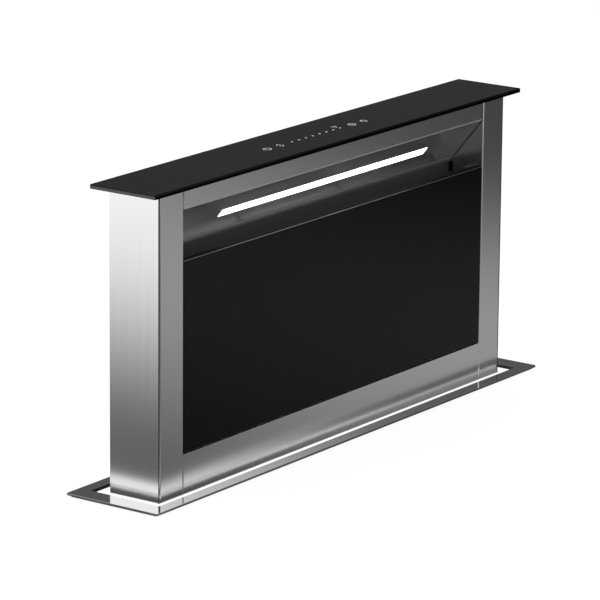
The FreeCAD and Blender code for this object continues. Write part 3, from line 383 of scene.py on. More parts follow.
class Glow(Graph):
    """A material that gives off light, for the floors and cards of the studio."""

    def __init__(self, name):
        self.material = bpy.data.materials.new(name)
        self.material.use_nodes = True
        super().__init__(self.material.node_tree)
        self.tree.nodes.clear()
        source = self.out(self.node("ShaderNodeTexCoord"), "Object")
        parts = self.node("ShaderNodeSeparateXYZ", None, {0: source})
        self.x, self.y = self.out(parts, "X"), self.out(parts, "Y")

    def light(self, strength):
        values = {"Color": grey(1.0), "Strength": strength}
        return self.out(self.node("ShaderNodeEmission", None, values))

    def blend(self, share, first, second):
        return self.out(self.node("ShaderNodeMixShader", None, {0: share, 1: first, 2: second}))

    def ray(self, kind):
        return self.out(self.node("ShaderNodeLightPath"), kind)

    def finished(self, surface):
        self.node("ShaderNodeOutputMaterial", None, {"Surface": surface})
        return self.material


def white_floor(name, white_share):
    """White for the camera, with a trace of the object's shadow; plain pale stone otherwise."""
    made = Glow(name)
    stone = made.out(made.node("ShaderNodeBsdfDiffuse", None, {"Color": grey(0.85)}))
    return made.finished(made.blend(made.ray("Is Camera Ray") * white_share, stone, made.light(1.06)))


print("stage helpers ready")

# %% Worktop and ground
tower_low, tower_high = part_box("side_panel_left")
tower_half = (-tower_low.x, tower_high.y)
flange_low, flange_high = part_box("worktop_flange")
FLANGE_WIDTHS = (0.028, 0.018)  # at the ends, and along the sides
opening_half = tuple(a - b for a, b in zip(flange_high.xy, FLANGE_WIDTHS))
SLIT = 0.0006  # between the tower's walls and the worktop of the picture


def round_tower(z):
    return rectangle(tower_half[0] + SLIT, tower_half[1] + SLIT, z)


under_flange = rectangle(flange_high.x, flange_high.y, 0)
near_right = Vector((flange_high.x, -0.16, 0))  # just hides the blower
reach = level_ahead * (cad_bounds[0].z / math.tan(ELEVATION))
nearest = [near_right, near_right + reach, Vector(under_flange[3]) + reach]
stage_plane(
    "worktop",
    round_tower(0) + under_flange + nearest,
    RING + [(7, 10, 9, 8, 5, 4)],
    white_floor("worktop_white", 0.8),
    camera=True,
)
ground = rectangle(6, 6, cad_bounds[0].z - 0.001)
stage_plane("ground", ground, WHOLE, white_floor("ground_white", 0.9), camera=True, diffuse=True)
print("worktop and ground in place")

# %% Floor and cards that the steel reflects
def floor_glow():
    made = Glow("floor_reflection")
    x, y = made.x, made.y
    pool = made.ramp(x, -0.4, 0.5, 0.115, 0.34) * made.ramp(x, 0.6, 1.65, 1.0, 0.12)
    far_left = made.ramp(x, -0.6, -1.6, 0.0, 0.98) * made.ramp(y, -0.4, 0.2)
    by_end = made.ramp(x, -0.475, -0.455) * made.ramp(x, -0.41, -0.44, 0.0, 0.7)
    by_front = made.ramp(y, -0.105, -0.085) * made.ramp(y, -0.05, -0.07)
    by_front *= made.ramp(x, 0.2, -0.35, 0.0, 0.5)
    return made.finished(made.light(pool + far_left + by_end + by_front))


def slit_glow():
    """Dark to the steel that mirrors it, but it lights the folded walls of the opening."""
    made = Glow("slit_reflection")
    mirrored = made.ramp(made.x, -0.42, 0.3, 0.08, 0.22)
    scattered = made.ray("Is Diffuse Ray") * made.ramp(made.x, -0.2, 0.3, 1.6, 0.6)
    return made.finished(made.light(mirrored + scattered))


FLOOR_Z, SLIT_Z = -0.0005, 0.0004
floor_edge = rectangle(flange_high.x - 0.002, flange_high.y - 0.002, FLOOR_Z)
stage_plane("floor_reflection", floor_edge + rectangle(4, 4, FLOOR_Z), RING, floor_glow(), glossy=True)
slit_ring = round_tower(SLIT_Z) + rectangle(*opening_half, SLIT_Z)
stage_plane("slit_reflection", slit_ring, RING, slit_glow(), glossy=True, diffuse=True)


def card(name, centre, turn, half_width, half_height, strength, left, right, edge=0.12):
    """An upright glowing card with soft edges, seen only in reflections."""
    made = Glow(name)
    mask = 1
    for place, half, soft in ((made.x, half_width, (left, right)), (made.y, half_height, (edge, edge))):
        mask = mask * made.ramp(place, -half, -half + soft[0]) * made.ramp(place, half, half - soft[1])
    clear = made.out(made.node("ShaderNodeBsdfTransparent"))
    surface = made.blend(mask, clear, made.light(strength))
    outline = rectangle(half_width, half_height, 0)
    plane = stage_plane(name, outline, WHOLE, made.finished(surface), glossy=True)
    stood_up = Matrix.Rotation(turn, 4, "Z") @ Matrix.Rotation(math.pi / 2, 4, "X")
    plane.matrix_world = Matrix.Translation(centre) @ stood_up


card("card_back_left", (-1.6, 0.9, 0.62), math.radians(60), 1.3, 0.6, 1.25, 0.12, 0.12)
card("card_front_right", (0.575, -1.0, 0.75), 0.0, 0.975, 0.6, 1.05, 0.1, 0.85)
print("reflections in place")

# %% World and lamps
def studio_world():
    world = bpy.data.worlds.new("studio")
    world.use_nodes = True
    bpy.context.scene.world = world
    graph = Graph(world.node_tree)
    background = world.node_tree.nodes["Background"]
    way = graph.node("ShaderNodeLightPath")
    seen, mirrored = graph.out(way, "Is Camera Ray"), graph.out(way, "Is Glossy Ray")
    source = graph.out(graph.node("ShaderNodeTexCoord"), "Generated")
    height = graph.out(graph.node("ShaderNodeSeparateXYZ", None, {0: source}), "Z")
    room = graph.ramp(height, 0.35, 0.95, 0.10, 0.8) + graph.ramp(height, 0.0, -0.6, 0.0, 0.35)
    plain = graph.ramp(height, -0.6, 0.8, 0.55, 0.95)
    around = mirrored * room + (1 - mirrored) * plain
    graph.feed(background.inputs["Strength"], seen + (1 - seen) * around)
    graph.feed(background.inputs["Color"], grey(1.0))


studio_world()
lamp_data = bpy.data.lights.new("lamp_above", "AREA")
lamp_data.size = 1.6
lamp_data.energy = 30
lamp = bpy.data.objects.new("lamp_above", lamp_data)
bpy.context.scene.collection.objects.link(lamp)
lamp.location = (-1.2, -1.6, 2.6)
lamp.rotation_mode = "QUATERNION"
lamp.rotation_quaternion = (lamp.location * -1).to_track_quat("-Z", "Y")
lamp.visible_glossy = False
lamp.visible_camera = False
print("world and lamps in place")

# %% [markdown]
# ## Finishes for the sheet metal and other pieces whose shape is right
# Folded sheets, rails and panels are already exact in the construction model, so they only take
# a finish. The brushing follows the way each sheet was rolled.

# %% Assign finishes
FINISHES = {
    steel_along_z: "side_panel_left side_panel_right front_stile_left front_stile_right back_panel",
    steel_along_x: "bottom_rail",
    steel_rail: "top_rail",
    steel_flange: "worktop_flange",
    cap_black: "cap_glass",
    door_black: "door_glass",
    zinc: "chassis_front_panel chassis_back_panel chassis_end_left chassis_end_right chassis_floor "
    "clamp_brackets mast_feet mast_heads top_plate drip_tray outlet_collar",
    plastic: "volute_back_shell volute_front_shell impeller control_box control_box_lid mains_gland",
    nylon: "neck_glides carriages idler_pulley_left idler_pulley_right",
    rubber: "worktop_gasket lift_belt_left lift_belt_right",
    aluminium: "mast_left mast_right led_channel drive_pulleys damper_flap_front damper_flap_rear",
    filter_metal: "grease_filter_frames grease_filter_meshes",
    lacquer: "touch_board led_board control_board",
    lens: "led_diffuser",
    bright_zinc: "clamp_screws idler_axles drive_shaft belt_clamps door_hinge_pins motor_screws "
    "damper_rod",
    # The filter partition takes the black motor paint so that the slot in front of it looks dark:
    # painted shade.
    motor_paint: "lift_motor blower_motor filter_partition",
    frame_paint: "door_frame",
    cast_metal: "lift_gearbox shaft_bearings",
    magnet_plate: "door_magnets",
}
for material, names in FINISHES.items():
    for name in names.split():
        mesh = nodes[name].data
        mesh.materials.clear()
        mesh.materials.append(material)
print(sum(len(names.split()) for names in FINISHES.values()), "nodes finished")

# %% [markdown]
# ## Building forms
# Most small parts are either turned on a lathe or folded and cut, so two ideas are enough: skin a
# row of outlines, and let those outlines be circles, hexagons or rounded rectangles. A row that
# joins its last outline to its first makes a ring, such as the frame of the worktop flange.

# %% Form
def as_mesh(shape, name, smooth=35):
    """A mesh that looks smooth except at its sharp edges."""
    made = bpy.data.meshes.new(name)
    shape.to_mesh(made)
    shape.free()
    made.shade_smooth()
    made.set_sharp_from_angle(angle=math.radians(smooth))
    return made


class Form:
    """Gathers closed solids into one mesh."""

    def __init__(self):
        self.shape = bmesh.new()

    def rings(self, outlines, closed=False):
        """Skins outlines in turn. An open row gets a flat end at each side."""
        rows = [[self.shape.verts.new(point) for point in outline] for outline in outlines]
        pairs = list(zip(rows, rows[1:])) + ([(rows[-1], rows[0])] if closed else [])
        for first, second in pairs:
            count = max(len(first), len(second))
            for index in range(count):
                after = (index + 1) % count
                corners = [first[index % len(first)], first[after % len(first)]]
                corners += [second[after % len(second)], second[index % len(second)]]
                corners = list(dict.fromkeys(corners))
                if len(corners) > 2:
                    self.shape.faces.new(corners)
        for row in [] if closed else [rows[0], rows[-1]]:
            if len(row) > 2:
                self.shape.faces.new(row)
        return self

    def block(self, low, high, bevel=0.0, origin=(0, 0, 0)):
        made = bmesh.ops.create_cube(self.shape, size=1.0)["verts"]
        low, high = Vector(origin) + Vector(low), Vector(origin) + Vector(high)
        for vertex in made:
            vertex.co = (low + high) / 2 + vertex.co * (high - low)
        if bevel:
            edges = list({edge for vertex in made for edge in vertex.link_edges})
            shape = {"segments": 2, "affect": "EDGES", "profile": 0.5}
            bmesh.ops.bevel(self.shape, geom=edges, offset=bevel, **shape)
        return self

    def turned(self, profile, origin, axis, segments=48):
        """A lathe. Each stop of the profile is (distance along the axis, radius) or, for flats such
        as a hexagon's, (distance, radius to the flat, number of sides)."""
        along = Vector(axis).normalized()
        side = along.orthogonal().normalized()
        other = along.cross(side)

        def outline(distance, radius, sides=0):
            centre = Vector(origin) + along * distance
            if radius == 0:
                return [centre]
            half = math.pi / sides if sides else math.pi
            points = []
            for index in range(segments):
                angle = 2 * math.pi * index / segments
                reach = radius / math.cos((angle + half) % (2 * half) - half) if sides else radius
                points.append(centre + (side * math.cos(angle) + other * math.sin(angle)) * reach)
            return points

        return self.rings([outline(*stop) for stop in profile])

    def mesh(self, name, smooth=35):
        bmesh.ops.recalc_face_normals(self.shape, faces=self.shape.faces)
        return as_mesh(self.shape, name, smooth)


print("forms ready")

# %% Outlines and pieces
def rounded_outline(half, corner, z, grow):
    """Points round a level rectangle with rounded corners, grown or shrunk by a little."""
    points = []
    for quarter, (a, b) in enumerate(((1, 1), (-1, 1), (-1, -1), (1, -1))):
        for step in range(7):
            angle = (quarter + step / 6) * math.pi / 2
            x = a * (half[0] - corner) + (corner + grow) * math.cos(angle)
            y = b * (half[1] - corner) + (corner + grow) * math.sin(angle)
            points.append(Vector((x, y, z)))
    return points


def piece(name, mesh, material, body, slot, *stands_for):
    """Hands a finished mesh over: its finish, the body it rides on and the nodes it stands for."""
    mesh.materials.clear()
    mesh.materials.append(material)
    made = bpy.data.objects.new(name, mesh)
    bpy.context.scene.collection.objects.link(made)
    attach(made, body)
    if stands_for:
        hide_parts(*stands_for)
    print(name, len(mesh.polygons), "faces")


def second_finish(mesh, material, wanted):
    """Gives another finish to the faces that pass a test."""
    mesh.materials.append(material)
    for face in mesh.polygons:
        if wanted(face):
            face.material_index = len(mesh.materials) - 1


print("pieces can be handed over")

# %% [markdown]
# ## Repeats with Geometry Nodes
# Rivets, screws, ribs and belt teeth are one shape many times. A tree takes that shape as its
# input geometry and sets copies of it along a line, round an axis or along a path. Its sizes are
# named inputs, so one tree serves many parts. The result is turned into a plain mesh at once.

# %% Pattern
SOCKETS = {
    int: "NodeSocketInt",
    float: "NodeSocketFloat",
    Vector: "NodeSocketVector",
    bpy.types.Material: "NodeSocketMaterial",
}


class Pattern(Graph):
    """A Geometry Nodes tree that repeats its input geometry."""

    def __init__(self, name, **sizes):
        super().__init__(bpy.data.node_groups.new(name, "GeometryNodeTree"))
        face = self.tree.interface
        face.new_socket("Shape", in_out="INPUT", socket_type="NodeSocketGeometry")
        face.new_socket("Material", in_out="INPUT", socket_type="NodeSocketMaterial")
        face.new_socket("Result", in_out="OUTPUT", socket_type="NodeSocketGeometry")
        for key, value in sizes.items():
            made = face.new_socket(key, in_out="INPUT", socket_type=SOCKETS[type(value)])
            made.default_value = value
        self.given = self.tree.nodes.new("NodeGroupInput")
        self.sockets = {item.name: item.identifier for item in face.items_tree if item.in_out == "INPUT"}

    def size(self, key):
        return self.out(self.given, key)

    def line(self, step):
        values = {"Count": self.size("Count"), "Offset": step}
        return self.out(self.node("GeometryNodeMeshLine", None, values))

    def copies(self, points, shape, **values):
        """Sets a shape on every point."""
        values.update(Points=points, Instance=shape)
        return self.out(self.node("GeometryNodeInstanceOnPoints", None, values))

    def end(self, instances):
        whole = self.node("GeometryNodeRealizeInstances", None, {0: instances})
        values = {"Geometry": self.out(whole), "Material": self.size("Material")}
        dressed = self.node("GeometryNodeSetMaterial", None, values)
        self.node("NodeGroupOutput", None, {0: self.out(dressed)})
        return self

    def mesh(self, name, shape, material, **sizes):
        """Runs the tree on a shape and gives the result as a plain mesh."""
        carrier = bpy.data.objects.new(name, shape)
        bpy.context.scene.collection.objects.link(carrier)
        modifier = carrier.modifiers.new("pattern", "NODES")
        modifier.node_group = self.tree
        for key, value in {"Material": material, **sizes}.items():
            modifier[self.sockets[key]] = value
        seen = bpy.context.evaluated_depsgraph_get()
        made = bpy.data.meshes.new_from_object(carrier.evaluated_get(seen))
        carrier.modifiers.remove(modifier)
        bpy.data.objects.remove(carrier)
        return made


print("pattern helper ready")

# %% Three patterns
def line_pattern():
    tree = Pattern("along_a_line", Count=2, Step=Vector((0.01, 0, 0)))
    return tree.end(tree.copies(tree.line(tree.size("Step")), tree.size("Shape")))


def ring_pattern():
    tree = Pattern("round_an_axis", Count=4, Turn=Vector((0, 1, 0)), Centre=Vector((0, 0, 0)))
    copies = tree.copies(tree.line((0, 0, 0)), tree.size("Shape"))
    values = {0: tree.size("Turn"), "Scale": tree.out(tree.node("GeometryNodeInputIndex"))}
    angles = tree.out(tree.node("ShaderNodeVectorMath", {"operation": "SCALE"}, values))
    turned = tree.out(tree.node("FunctionNodeEulerToRotation", None, {0: angles}))
    values = {"Instances": copies, "Rotation": turned, "Pivot Point": tree.size("Centre")}
    return tree.end(tree.out(tree.node("GeometryNodeRotateInstances", None, values)))


def path_pattern():
    """The input shape is the path; a block is set across it at even steps."""
    tree = Pattern("blocks_along_a_path", Count=100, Block=Vector((0.01, 0.001, 0.002)))
    path = tree.out(tree.node("GeometryNodeMeshToCurve", None, {0: tree.size("Shape")}))
    values = {"Curve": path, "Count": tree.size("Count")}
    stops = tree.node("GeometryNodeCurveToPoints", {"mode": "COUNT"}, values)
    block = tree.out(tree.node("GeometryNodeMeshCube", None, {"Size": tree.size("Block")}))
    settings = {"axis": "Z", "pivot_axis": "X"}
    values = {"Vector": tree.out(stops, "Tangent")}
    aligned = tree.node("FunctionNodeAlignRotationToVector", settings, values)
    return tree.end(tree.copies(tree.out(stops), block, Rotation=tree.out(aligned)))


along_line = line_pattern()
round_axis = ring_pattern()
along_path = path_pattern()
print(len(bpy.data.node_groups), "patterns ready")

# %% Rows, corners and rings
def joined(name, *meshes):
    """Several meshes as one."""
    shape = bmesh.new()
    for mesh in meshes:
        shape.from_mesh(mesh)
    return as_mesh(shape, name)


def lined(shape, material, count, *step):
    """Copies in a row."""
    return along_line.mesh("row", shape, material, Count=count, Step=Vector(step))


def at_corners(shape, material, first, second):
    """Four copies, at the corners of the rectangle between two steps."""
    return lined(lined(shape, material, 2, *first), material, 2, *second)


def ringed(shape, material, count, axis, centre):
    """Copies all the way round an axis."""
    turn = Vector(axis) * (2 * math.pi / count)
    return round_axis.mesh("ring", shape, material, Count=count, Turn=turn, Centre=centre)


print("repeats ready")

# %% [markdown]
# ## Worktop flange
# The flange is the only part of the neck that is seen from above: a steel frame that lies on the
# worktop and folds down into the cut-out. One closed row of outlines follows its section all the
# way round. Its outer edge and the far walls of the opening are a plain cut, darkened as painted
# shade. The near walls of the fold, which the tower's foot mirrors as a bright line, are painted
# pale as painted light.

# %% Flange
EASED = 0.0003  # the filed edge of a cut sheet
SHEET = 0.0015
gasket_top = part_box("worktop_gasket")[1].z
outside, opening = (flange_high.xy, 2 * SHEET), (opening_half, SHEET)
flange_section = [
    (outside, gasket_top, 0),
    (outside, flange_high.z - EASED, 0),
    (outside, flange_high.z, -EASED),
    (opening, flange_high.z, EASED / 3),
    (opening, flange_high.z - EASED / 3, 0),
    (opening, flange_low.z, 0),
    (opening, flange_low.z, SHEET),
    (opening, gasket_top, SHEET),
]
flange_rings = [rounded_outline(*shape, z, grow) for shape, z, grow in flange_section]
flange_mesh = Form().rings(flange_rings, closed=True).mesh("flange", 20)
piece("flange_frame", flange_mesh, steel_flange, "chassis", "brushed_steel", "worktop_flange")


def upright(face):
    return abs(face.normal.z) < 0.5


def on_near_fold(face):
    """The front and left walls of the opening."""
    inside = all(abs(place) < half + 0.01 for place, half in zip(face.center, opening_half))
    return upright(face) and inside and max(face.normal.x, face.normal.y) > 0.5


# The upright faces take the cut finish, darkened as painted shade.
second_finish(flange_mesh, cut_edge_and_shade, upright)
# The near walls of the opening are pale as painted light, so the tower's foot mirrors them as a bright
# line.
second_finish(flange_mesh, fold_painted_light, on_near_fold)

# %% [markdown]
# ## Cap
# The lid of the tower is one pane of black glass. In real glass the edge is ground to a small flat
# at 45 degrees, then polished, so a pane with a plain square edge looks like card. Here each level
# of the edge is one more rounded rectangle. Below the ground line the long edges are near black,
# and the two end faces are duller.

# %% Cap pane
cap_low, cap_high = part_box("cap_glass")
CAP_CORNER = 0.0012
CHAMFER = 0.0008
PRINT = 0.00004  # height of the printed symbols
pane_top = cap_high.z - PRINT
ground_line = pane_top - 0.0021
cap_levels = [
    (cap_low.z, -0.0001),
    (cap_low.z + 0.0001, 0),
    (ground_line, 0),
    (pane_top - CHAMFER, 0),
    (pane_top - 0.0002, -0.0004),
    (pane_top, -0.0009),
]
cap_rings = [rounded_outline(cap_high.xy, CAP_CORNER, z, grow) for z, grow in cap_levels]
cap_mesh = Form().rings(cap_rings).mesh("cap", 20)
piece("cap_pane", cap_mesh, cap_black, "tower", "black_glass", "cap_glass")


def on_long_edge(face):
    below = abs(face.normal.y) > 0.5 and face.center.z < ground_line
    return below or (abs(face.normal.y) > 0.3 and face.center.z > pane_top - CHAMFER)


def on_end_face(face):
    return abs(face.normal.x) > 0.8 and face.center.z < ground_line


second_finish(cap_mesh, edge_black, on_long_edge)
second_finish(cap_mesh, edge_ground, on_end_face)

# %% [markdown]
# ## Touch symbols
# The controls are printed under the glass: eight dots for the fan's speed, with two keys on each
# side. The keys carry common signs only: power, up and down, a clock, a lamp and a fan. Each sign
# is a few strokes, and a stroke is a thin flat bar that follows a line of points.

# %% Symbols
LINE = 0.0012
KEY = 0.0054  # half the width of a key's sign
KEY_Y = -0.0045
DOTS, DOT_START, DOT_STEP, DOT_RADIUS = 8, -0.0622, 0.01566, 0.0016
symbols = Form()


def stroke(points, width):
    """A flat bar along points on the cap. It is a loop if it ends where it begins."""
    points = [Vector(point) for point in points]
    closed = (points[0] - points[-1]).length < PRINT
    points = points[:-1] if closed else points
    outlines = []
    for index, point in enumerate(points):
        before = points[index - 1] if index or closed else point
        after = points[(index + 1) % len(points)] if index < len(points) - 1 or closed else point
        way = (after - before).normalized()
        side = Vector((-way.y, way.x)) * width / 2
        left, right = point + side, point - side
        low, high = pane_top - PRINT, cap_high.z
        outlines.append([(*left, high), (*right, high), (*right, low), (*left, low)])
    symbols.rings(outlines, closed)


def arc(x, y, radius, start, end, steps=14):
    """Points of an arc, with its angles in degrees."""
    angles = [math.radians(start + (end - start) * step / steps) for step in range(steps + 1)]
    return [(x + radius * math.cos(a), y + radius * math.sin(a)) for a in angles]


def sign(x, y, *lines, width=LINE):
    """A few strokes round a point, in units of half a key's width."""
    for line in lines:
        stroke([(x + KEY * a, y + KEY * b) for a, b in line], width)


dot = [(PRINT * -2, 0), (PRINT * -2, DOT_RADIUS), (0, DOT_RADIUS), (0, 0)]
for index in range(DOTS):
    symbols.turned(dot, (DOT_START + index * DOT_STEP, KEY_Y, cap_high.z), (0, 0, 1), 16)
up_arrow, down_arrow = ([(-0.8, way * 0.3), (0, way * 1.1), (0.8, way * 0.3)] for way in (1, -1))
blades = []
for turn in (0, 120, 240):
    away = math.radians(turn)
    blades.append(arc(0.4 * math.cos(away), 0.4 * math.sin(away), 0.4, turn, turn + 180, 8))
sign(-0.1176, KEY_Y, arc(0, 0, 1, 120, 420), [(0, 0.3), (0, 1.3)])  # power
sign(-0.0893, KEY_Y, up_arrow, down_arrow)
sign(0.0753, KEY_Y, arc(0, 0, 1, 0, 360), [(0, 0.67), (0, 0), (0.5, 0)])  # clock
sign(0.1036, KEY_Y, arc(0, 0.24, 0.76, -60, 240), [(-0.4, -0.8), (0.4, -0.8)])  # lamp
sign(0.0480, 0.0053, *blades, width=LINE * 0.8)  # fan
piece("touch_symbols", symbols.mesh("symbols"), print_pale, "tower", "lamp_lens")

# %% [markdown]
# ## Door
# The door is a pane of the same black glass on a steel frame. A narrow strip guards its top edge,
# where fingers pull it, and shows as a thin light line across the dark recess.

# %% Door pane and strip
door_low, door_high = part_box("door_glass")
STRIP = 0.0005
strip_foot = door_high.z - STRIP
pane_mesh = Form().block(door_low, (door_high.x, door_high.y, strip_foot), 0.0002).mesh("pane", 20)
piece("door_pane", pane_mesh, door_black, "door", "black_glass", "door_glass")
second_finish(pane_mesh, edge_black, lambda face: face.normal.z > 0.5)
strip_low = (door_low.x, door_low.y, strip_foot - 0.0002)
strip = Form().block(strip_low, (door_high.x, door_low.y + STRIP, door_high.z), 0.0001)
piece("door_strip", strip.mesh("strip", 20), strip_metal, "door", "aluminium")

# %% [markdown]
# ## Seams
# Where two sheets meet, the tower shows a thin dark line: a narrow black strip in the step between
# each end panel and its stile, and another along each end of the lamp cove's slope, stand in for
# the shade in these seams as painted shade.

# %% Shade strips in the seams
stile_low, stile_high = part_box("front_stile_left")
RAIL_FACE = 0.0272  # height of the top rail's front
SHADE_STRIP, SHADE_STRIP_RISE = 0.0011, 0.0006
fold = Vector((0, rail_low.y, rail_high.z - RAIL_FACE))  # where the slope of the cove begins
cove = Vector((0, rail_high.y - 0.0012, cove_end)) - fold
rise = Vector((0, cove.z, -cove.y)).normalized() * SHADE_STRIP_RISE
near, far = stile_low.y + 0.00055, stile_low.y + 0.0015
shade_strips = Form()
for side in (-1, 1):
    outer, inner = sorted((side * (tower_half[0] - 0.0001), side * (tower_half[0] - 0.00105)))
    shade_strips.block((outer, near, stile_low.z), (inner, far, stile_high.z - 0.0001), 0.0001)
    away = Vector((-side * SHADE_STRIP, 0, 0))
    feet = [fold + cove * share + Vector((side * -stile_high.x, 0, 0)) for share in (0.01, 0.98)]
    shade_strips.rings([[foot, foot + away, foot + away + rise, foot + rise] for foot in feet])
# The black strips are painted shade of the seams.
piece("seam_shade_strips", shade_strips.mesh("shade_strips", 20), rubber, "tower", "black_rubber")

# %% [markdown]
# ## Grease filters
# Behind the door three aluminium cassettes catch the grease in layers of expanded metal: sheet that
# is slit and stretched into diamonds. Only every second diamond has to be made, because the ones
# between share its sides. A grid of one diamond makes a layer, and a second layer lies behind it,
# half a cell aside, as in a real cassette.

# %% Expanded metal
mesh_low, mesh_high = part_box("grease_filter_meshes")
CASSETTES, CASSETTE_PITCH = 3, 0.22913
COLUMNS, ROWS = 22, 36
STRAND = 0.0006
sheet_width = mesh_high.x - mesh_low.x - (CASSETTES - 1) * CASSETTE_PITCH
cell = Vector((sheet_width / COLUMNS, 0, (mesh_high.z - mesh_low.z) / ROWS))


def diamond(centre):
    """One diamond: four strands with a square section, turned as the stretched sheet turns them."""
    outlines = []
    for reach, depth in ((0, -1), (1, 1), (0, 1), (-1, -1)):
        half_x = cell.x / 2 + reach * STRAND / 2
        half_z = cell.z / 2 + reach * STRAND / 2
        middle = centre + Vector((0, depth * STRAND * 0.6, 0))
        corners = ((half_x, 0), (0, half_z), (-half_x, 0), (0, -half_z))
        outlines.append([middle + Vector((a, 0, b)) for a, b in corners])
    return Form().rings(outlines, closed=True).mesh("diamond")


def expanded_layer(depth, start, columns, rows):
    first = diamond(Vector((start.x, (mesh_low.y + mesh_high.y) / 2 + depth, start.z)))
    return lined(lined(first, filter_metal, columns, cell.x, 0, 0), filter_metal, rows, 0, 0, cell.z)


near_layer = expanded_layer(-0.0005, mesh_low + cell / 2, COLUMNS, ROWS)
far_layer = expanded_layer(0.0005, mesh_low + cell, COLUMNS - 1, ROWS - 1)
layers = joined("layers", near_layer, far_layer)
lattice = lined(layers, filter_metal, CASSETTES, CASSETTE_PITCH, 0, 0)
piece("filter_lattice", lattice, filter_metal, "tower", "filter_mesh", "grease_filter_meshes")

# %% [markdown]
# ## Lift belts
# A toothed belt runs over a pulley at each end of a mast, and one run of it carries the tower. The
# band is four outlines joined into a ring, and the teeth follow the belt's middle line.

# %% Toothed belts
def belt_loop(radius, x, y, top, bottom, steps=16):
    """Points round two half circles and the straight runs between them."""
    points = []
    for centre_z, start in ((top, 0.0), (bottom, math.pi)):
        for step in range(steps + 1):
            angle = start + math.pi * step / steps
            points.append(Vector((x, y + radius * math.cos(angle), centre_z + radius * math.sin(angle))))
    return points


BAND = 0.0008
TOOTH_DEPTH, TOOTH_WIDTH, TEETH = 0.0009, 0.0024, 268


def toothed_belt(side):
    low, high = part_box("lift_belt_" + side)
    outer = (high.y - low.y) / 2
    middle = (low + high) / 2
    ends = (middle.y, high.z - outer, low.z + outer)
    sections = ((outer, low.x), (outer, high.x), (outer - BAND, high.x), (outer - BAND, low.x))
    loops = [belt_loop(radius, x, *ends) for radius, x in sections]
    belt = Form().rings(loops, closed=True).mesh("band")
    line = bpy.data.meshes.new("belt_line")
    points = belt_loop(outer - 0.0012, middle.x, *ends)
    line.from_pydata(points, [(i, (i + 1) % len(points)) for i in range(len(points))], [])
    block = Vector((high.x - low.x - 0.0004, TOOTH_DEPTH, TOOTH_WIDTH))
    teeth = along_path.mesh("teeth", line, rubber, Count=TEETH, Block=block)
    whole = joined("belt", belt, teeth)
    piece("toothed_belt_" + side, whole, rubber, "chassis", "black_rubber", "lift_belt_" + side)


toothed_belt("left")
toothed_belt("right")

# %% [markdown]
# ## Screws and rivets
# Four long screws press the neck up under the worktop. Their thread is a real helix: the radius of
# every point follows its height and its angle. The button heads on the motor and on the control
# box have a hexagon socket, and the chassis sheets are held with domed rivets.

# %% Clamp screws
def thread(form, origin, radius, length, pitch, depth, segments=12):
    """An upright screw thread."""
    steps = round(4 * length / pitch)
    outlines = []
    for step in range(steps + 1):
        rise = length * step / steps
        outline = []
        for index in range(segments):
            share = index / segments
            reach = radius - depth * abs(2 * ((rise / pitch - share) % 1) - 1)
            turn = Vector((math.cos(2 * math.pi * share), math.sin(2 * math.pi * share), 0))
            outline.append(Vector(origin) + turn * reach + Vector((0, 0, rise)))
        outlines.append(outline)
    form.rings(outlines)


screws_low, screws_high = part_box("clamp_screws")
PAD, KNOB, KNOB_HEIGHT = 0.009, 0.007, 0.006
UP, BACK, FRONT = (0, 0, 1), (0, 1, 0), (0, -1, 0)
screw_foot = Vector((screws_low.x + PAD, screws_low.y + PAD, screws_low.z))
clamp_screw = Form()
thread(clamp_screw, screw_foot + Vector((0, 0, KNOB_HEIGHT)), 0.003, 0.041, 0.0013, 0.0005)
pad_profile = [(0.0455, 0), (0.0455, 0.007), (0.047, PAD), (0.0496, PAD), (0.05, 0.0086), (0.05, 0)]
clamp_screw.turned(pad_profile, screw_foot, UP)
knob_profile = [(0, 0), (0, 0.0058), (0.0008, 0.0064), (0.0052, 0.0064)]
knob_profile += [(KNOB_HEIGHT, 0.0056), (KNOB_HEIGHT, 0)]
clamp_screw.turned(knob_profile, screw_foot, UP)
grip = Form().block((0.0058, -0.0005, 0.0008), (KNOB, 0.0005, 0.0052), 0.0002, screw_foot)
grips = ringed(grip.mesh("grip"), bright_zinc, 20, UP, screw_foot)
one_screw = joined("clamp_screw", clamp_screw.mesh("screw"), grips)
span = screws_high - screws_low
four_screws = at_corners(one_screw, bright_zinc, (span.x - 2 * PAD, 0, 0), (0, span.y - 2 * PAD, 0))
piece("clamp_screw_set", four_screws, bright_zinc, "chassis", "bright_steel", "clamp_screws")

# %% Button heads
def button_screw(seat, shank, length, head, height):
    """A button-head screw with a hexagon socket, seated at a point and facing the front."""
    socket = head * 0.45
    profile = [(-length, 0), (-length, shank), (0, shank), (0, head), (height * 0.45, head)]
    profile += [(height * 0.85, head * 0.8), (height, head * 0.62), (height, socket, 6)]
    profile += [(height * 0.3, socket, 6), (height * 0.3, 0)]
    return Form().turned(profile, seat, FRONT, 24).mesh("button")


blower_low, blower_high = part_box("blower_motor")
motor_centre = (blower_low + blower_high) / 2
motor_seat = Vector((motor_centre.x, blower_high.y, motor_centre.z))
MOTOR_FLANGE = 0.004
SCREW_CIRCLE = 0.055
diagonal = SCREW_CIRCLE / math.sqrt(2)
first_seat = motor_seat + Vector((diagonal, -MOTOR_FLANGE, diagonal))
motor_button = button_screw(first_seat, 0.002, 0.0089, 0.0038, 0.0025)
motor_buttons = ringed(motor_button, bright_zinc, 4, BACK, motor_seat)
piece("motor_screw_set", motor_buttons, bright_zinc, "chassis", "bright_steel", "motor_screws")

lid_low, lid_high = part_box("control_box_lid")
LID_INSET = 0.007
lid_seat = Vector((lid_low.x + LID_INSET, lid_low.y, lid_low.z + LID_INSET))
lid_button = button_screw(lid_seat, 0.0012, 0.002, 0.003, 0.0018)
span = lid_high - lid_low
lid_buttons = at_corners(
    lid_button, bright_zinc, (span.x - 2 * LID_INSET, 0, 0), (0, 0, span.z - 2 * LID_INSET)
)
piece("lid_screw_set", lid_buttons, bright_zinc, "chassis", "bright_steel")

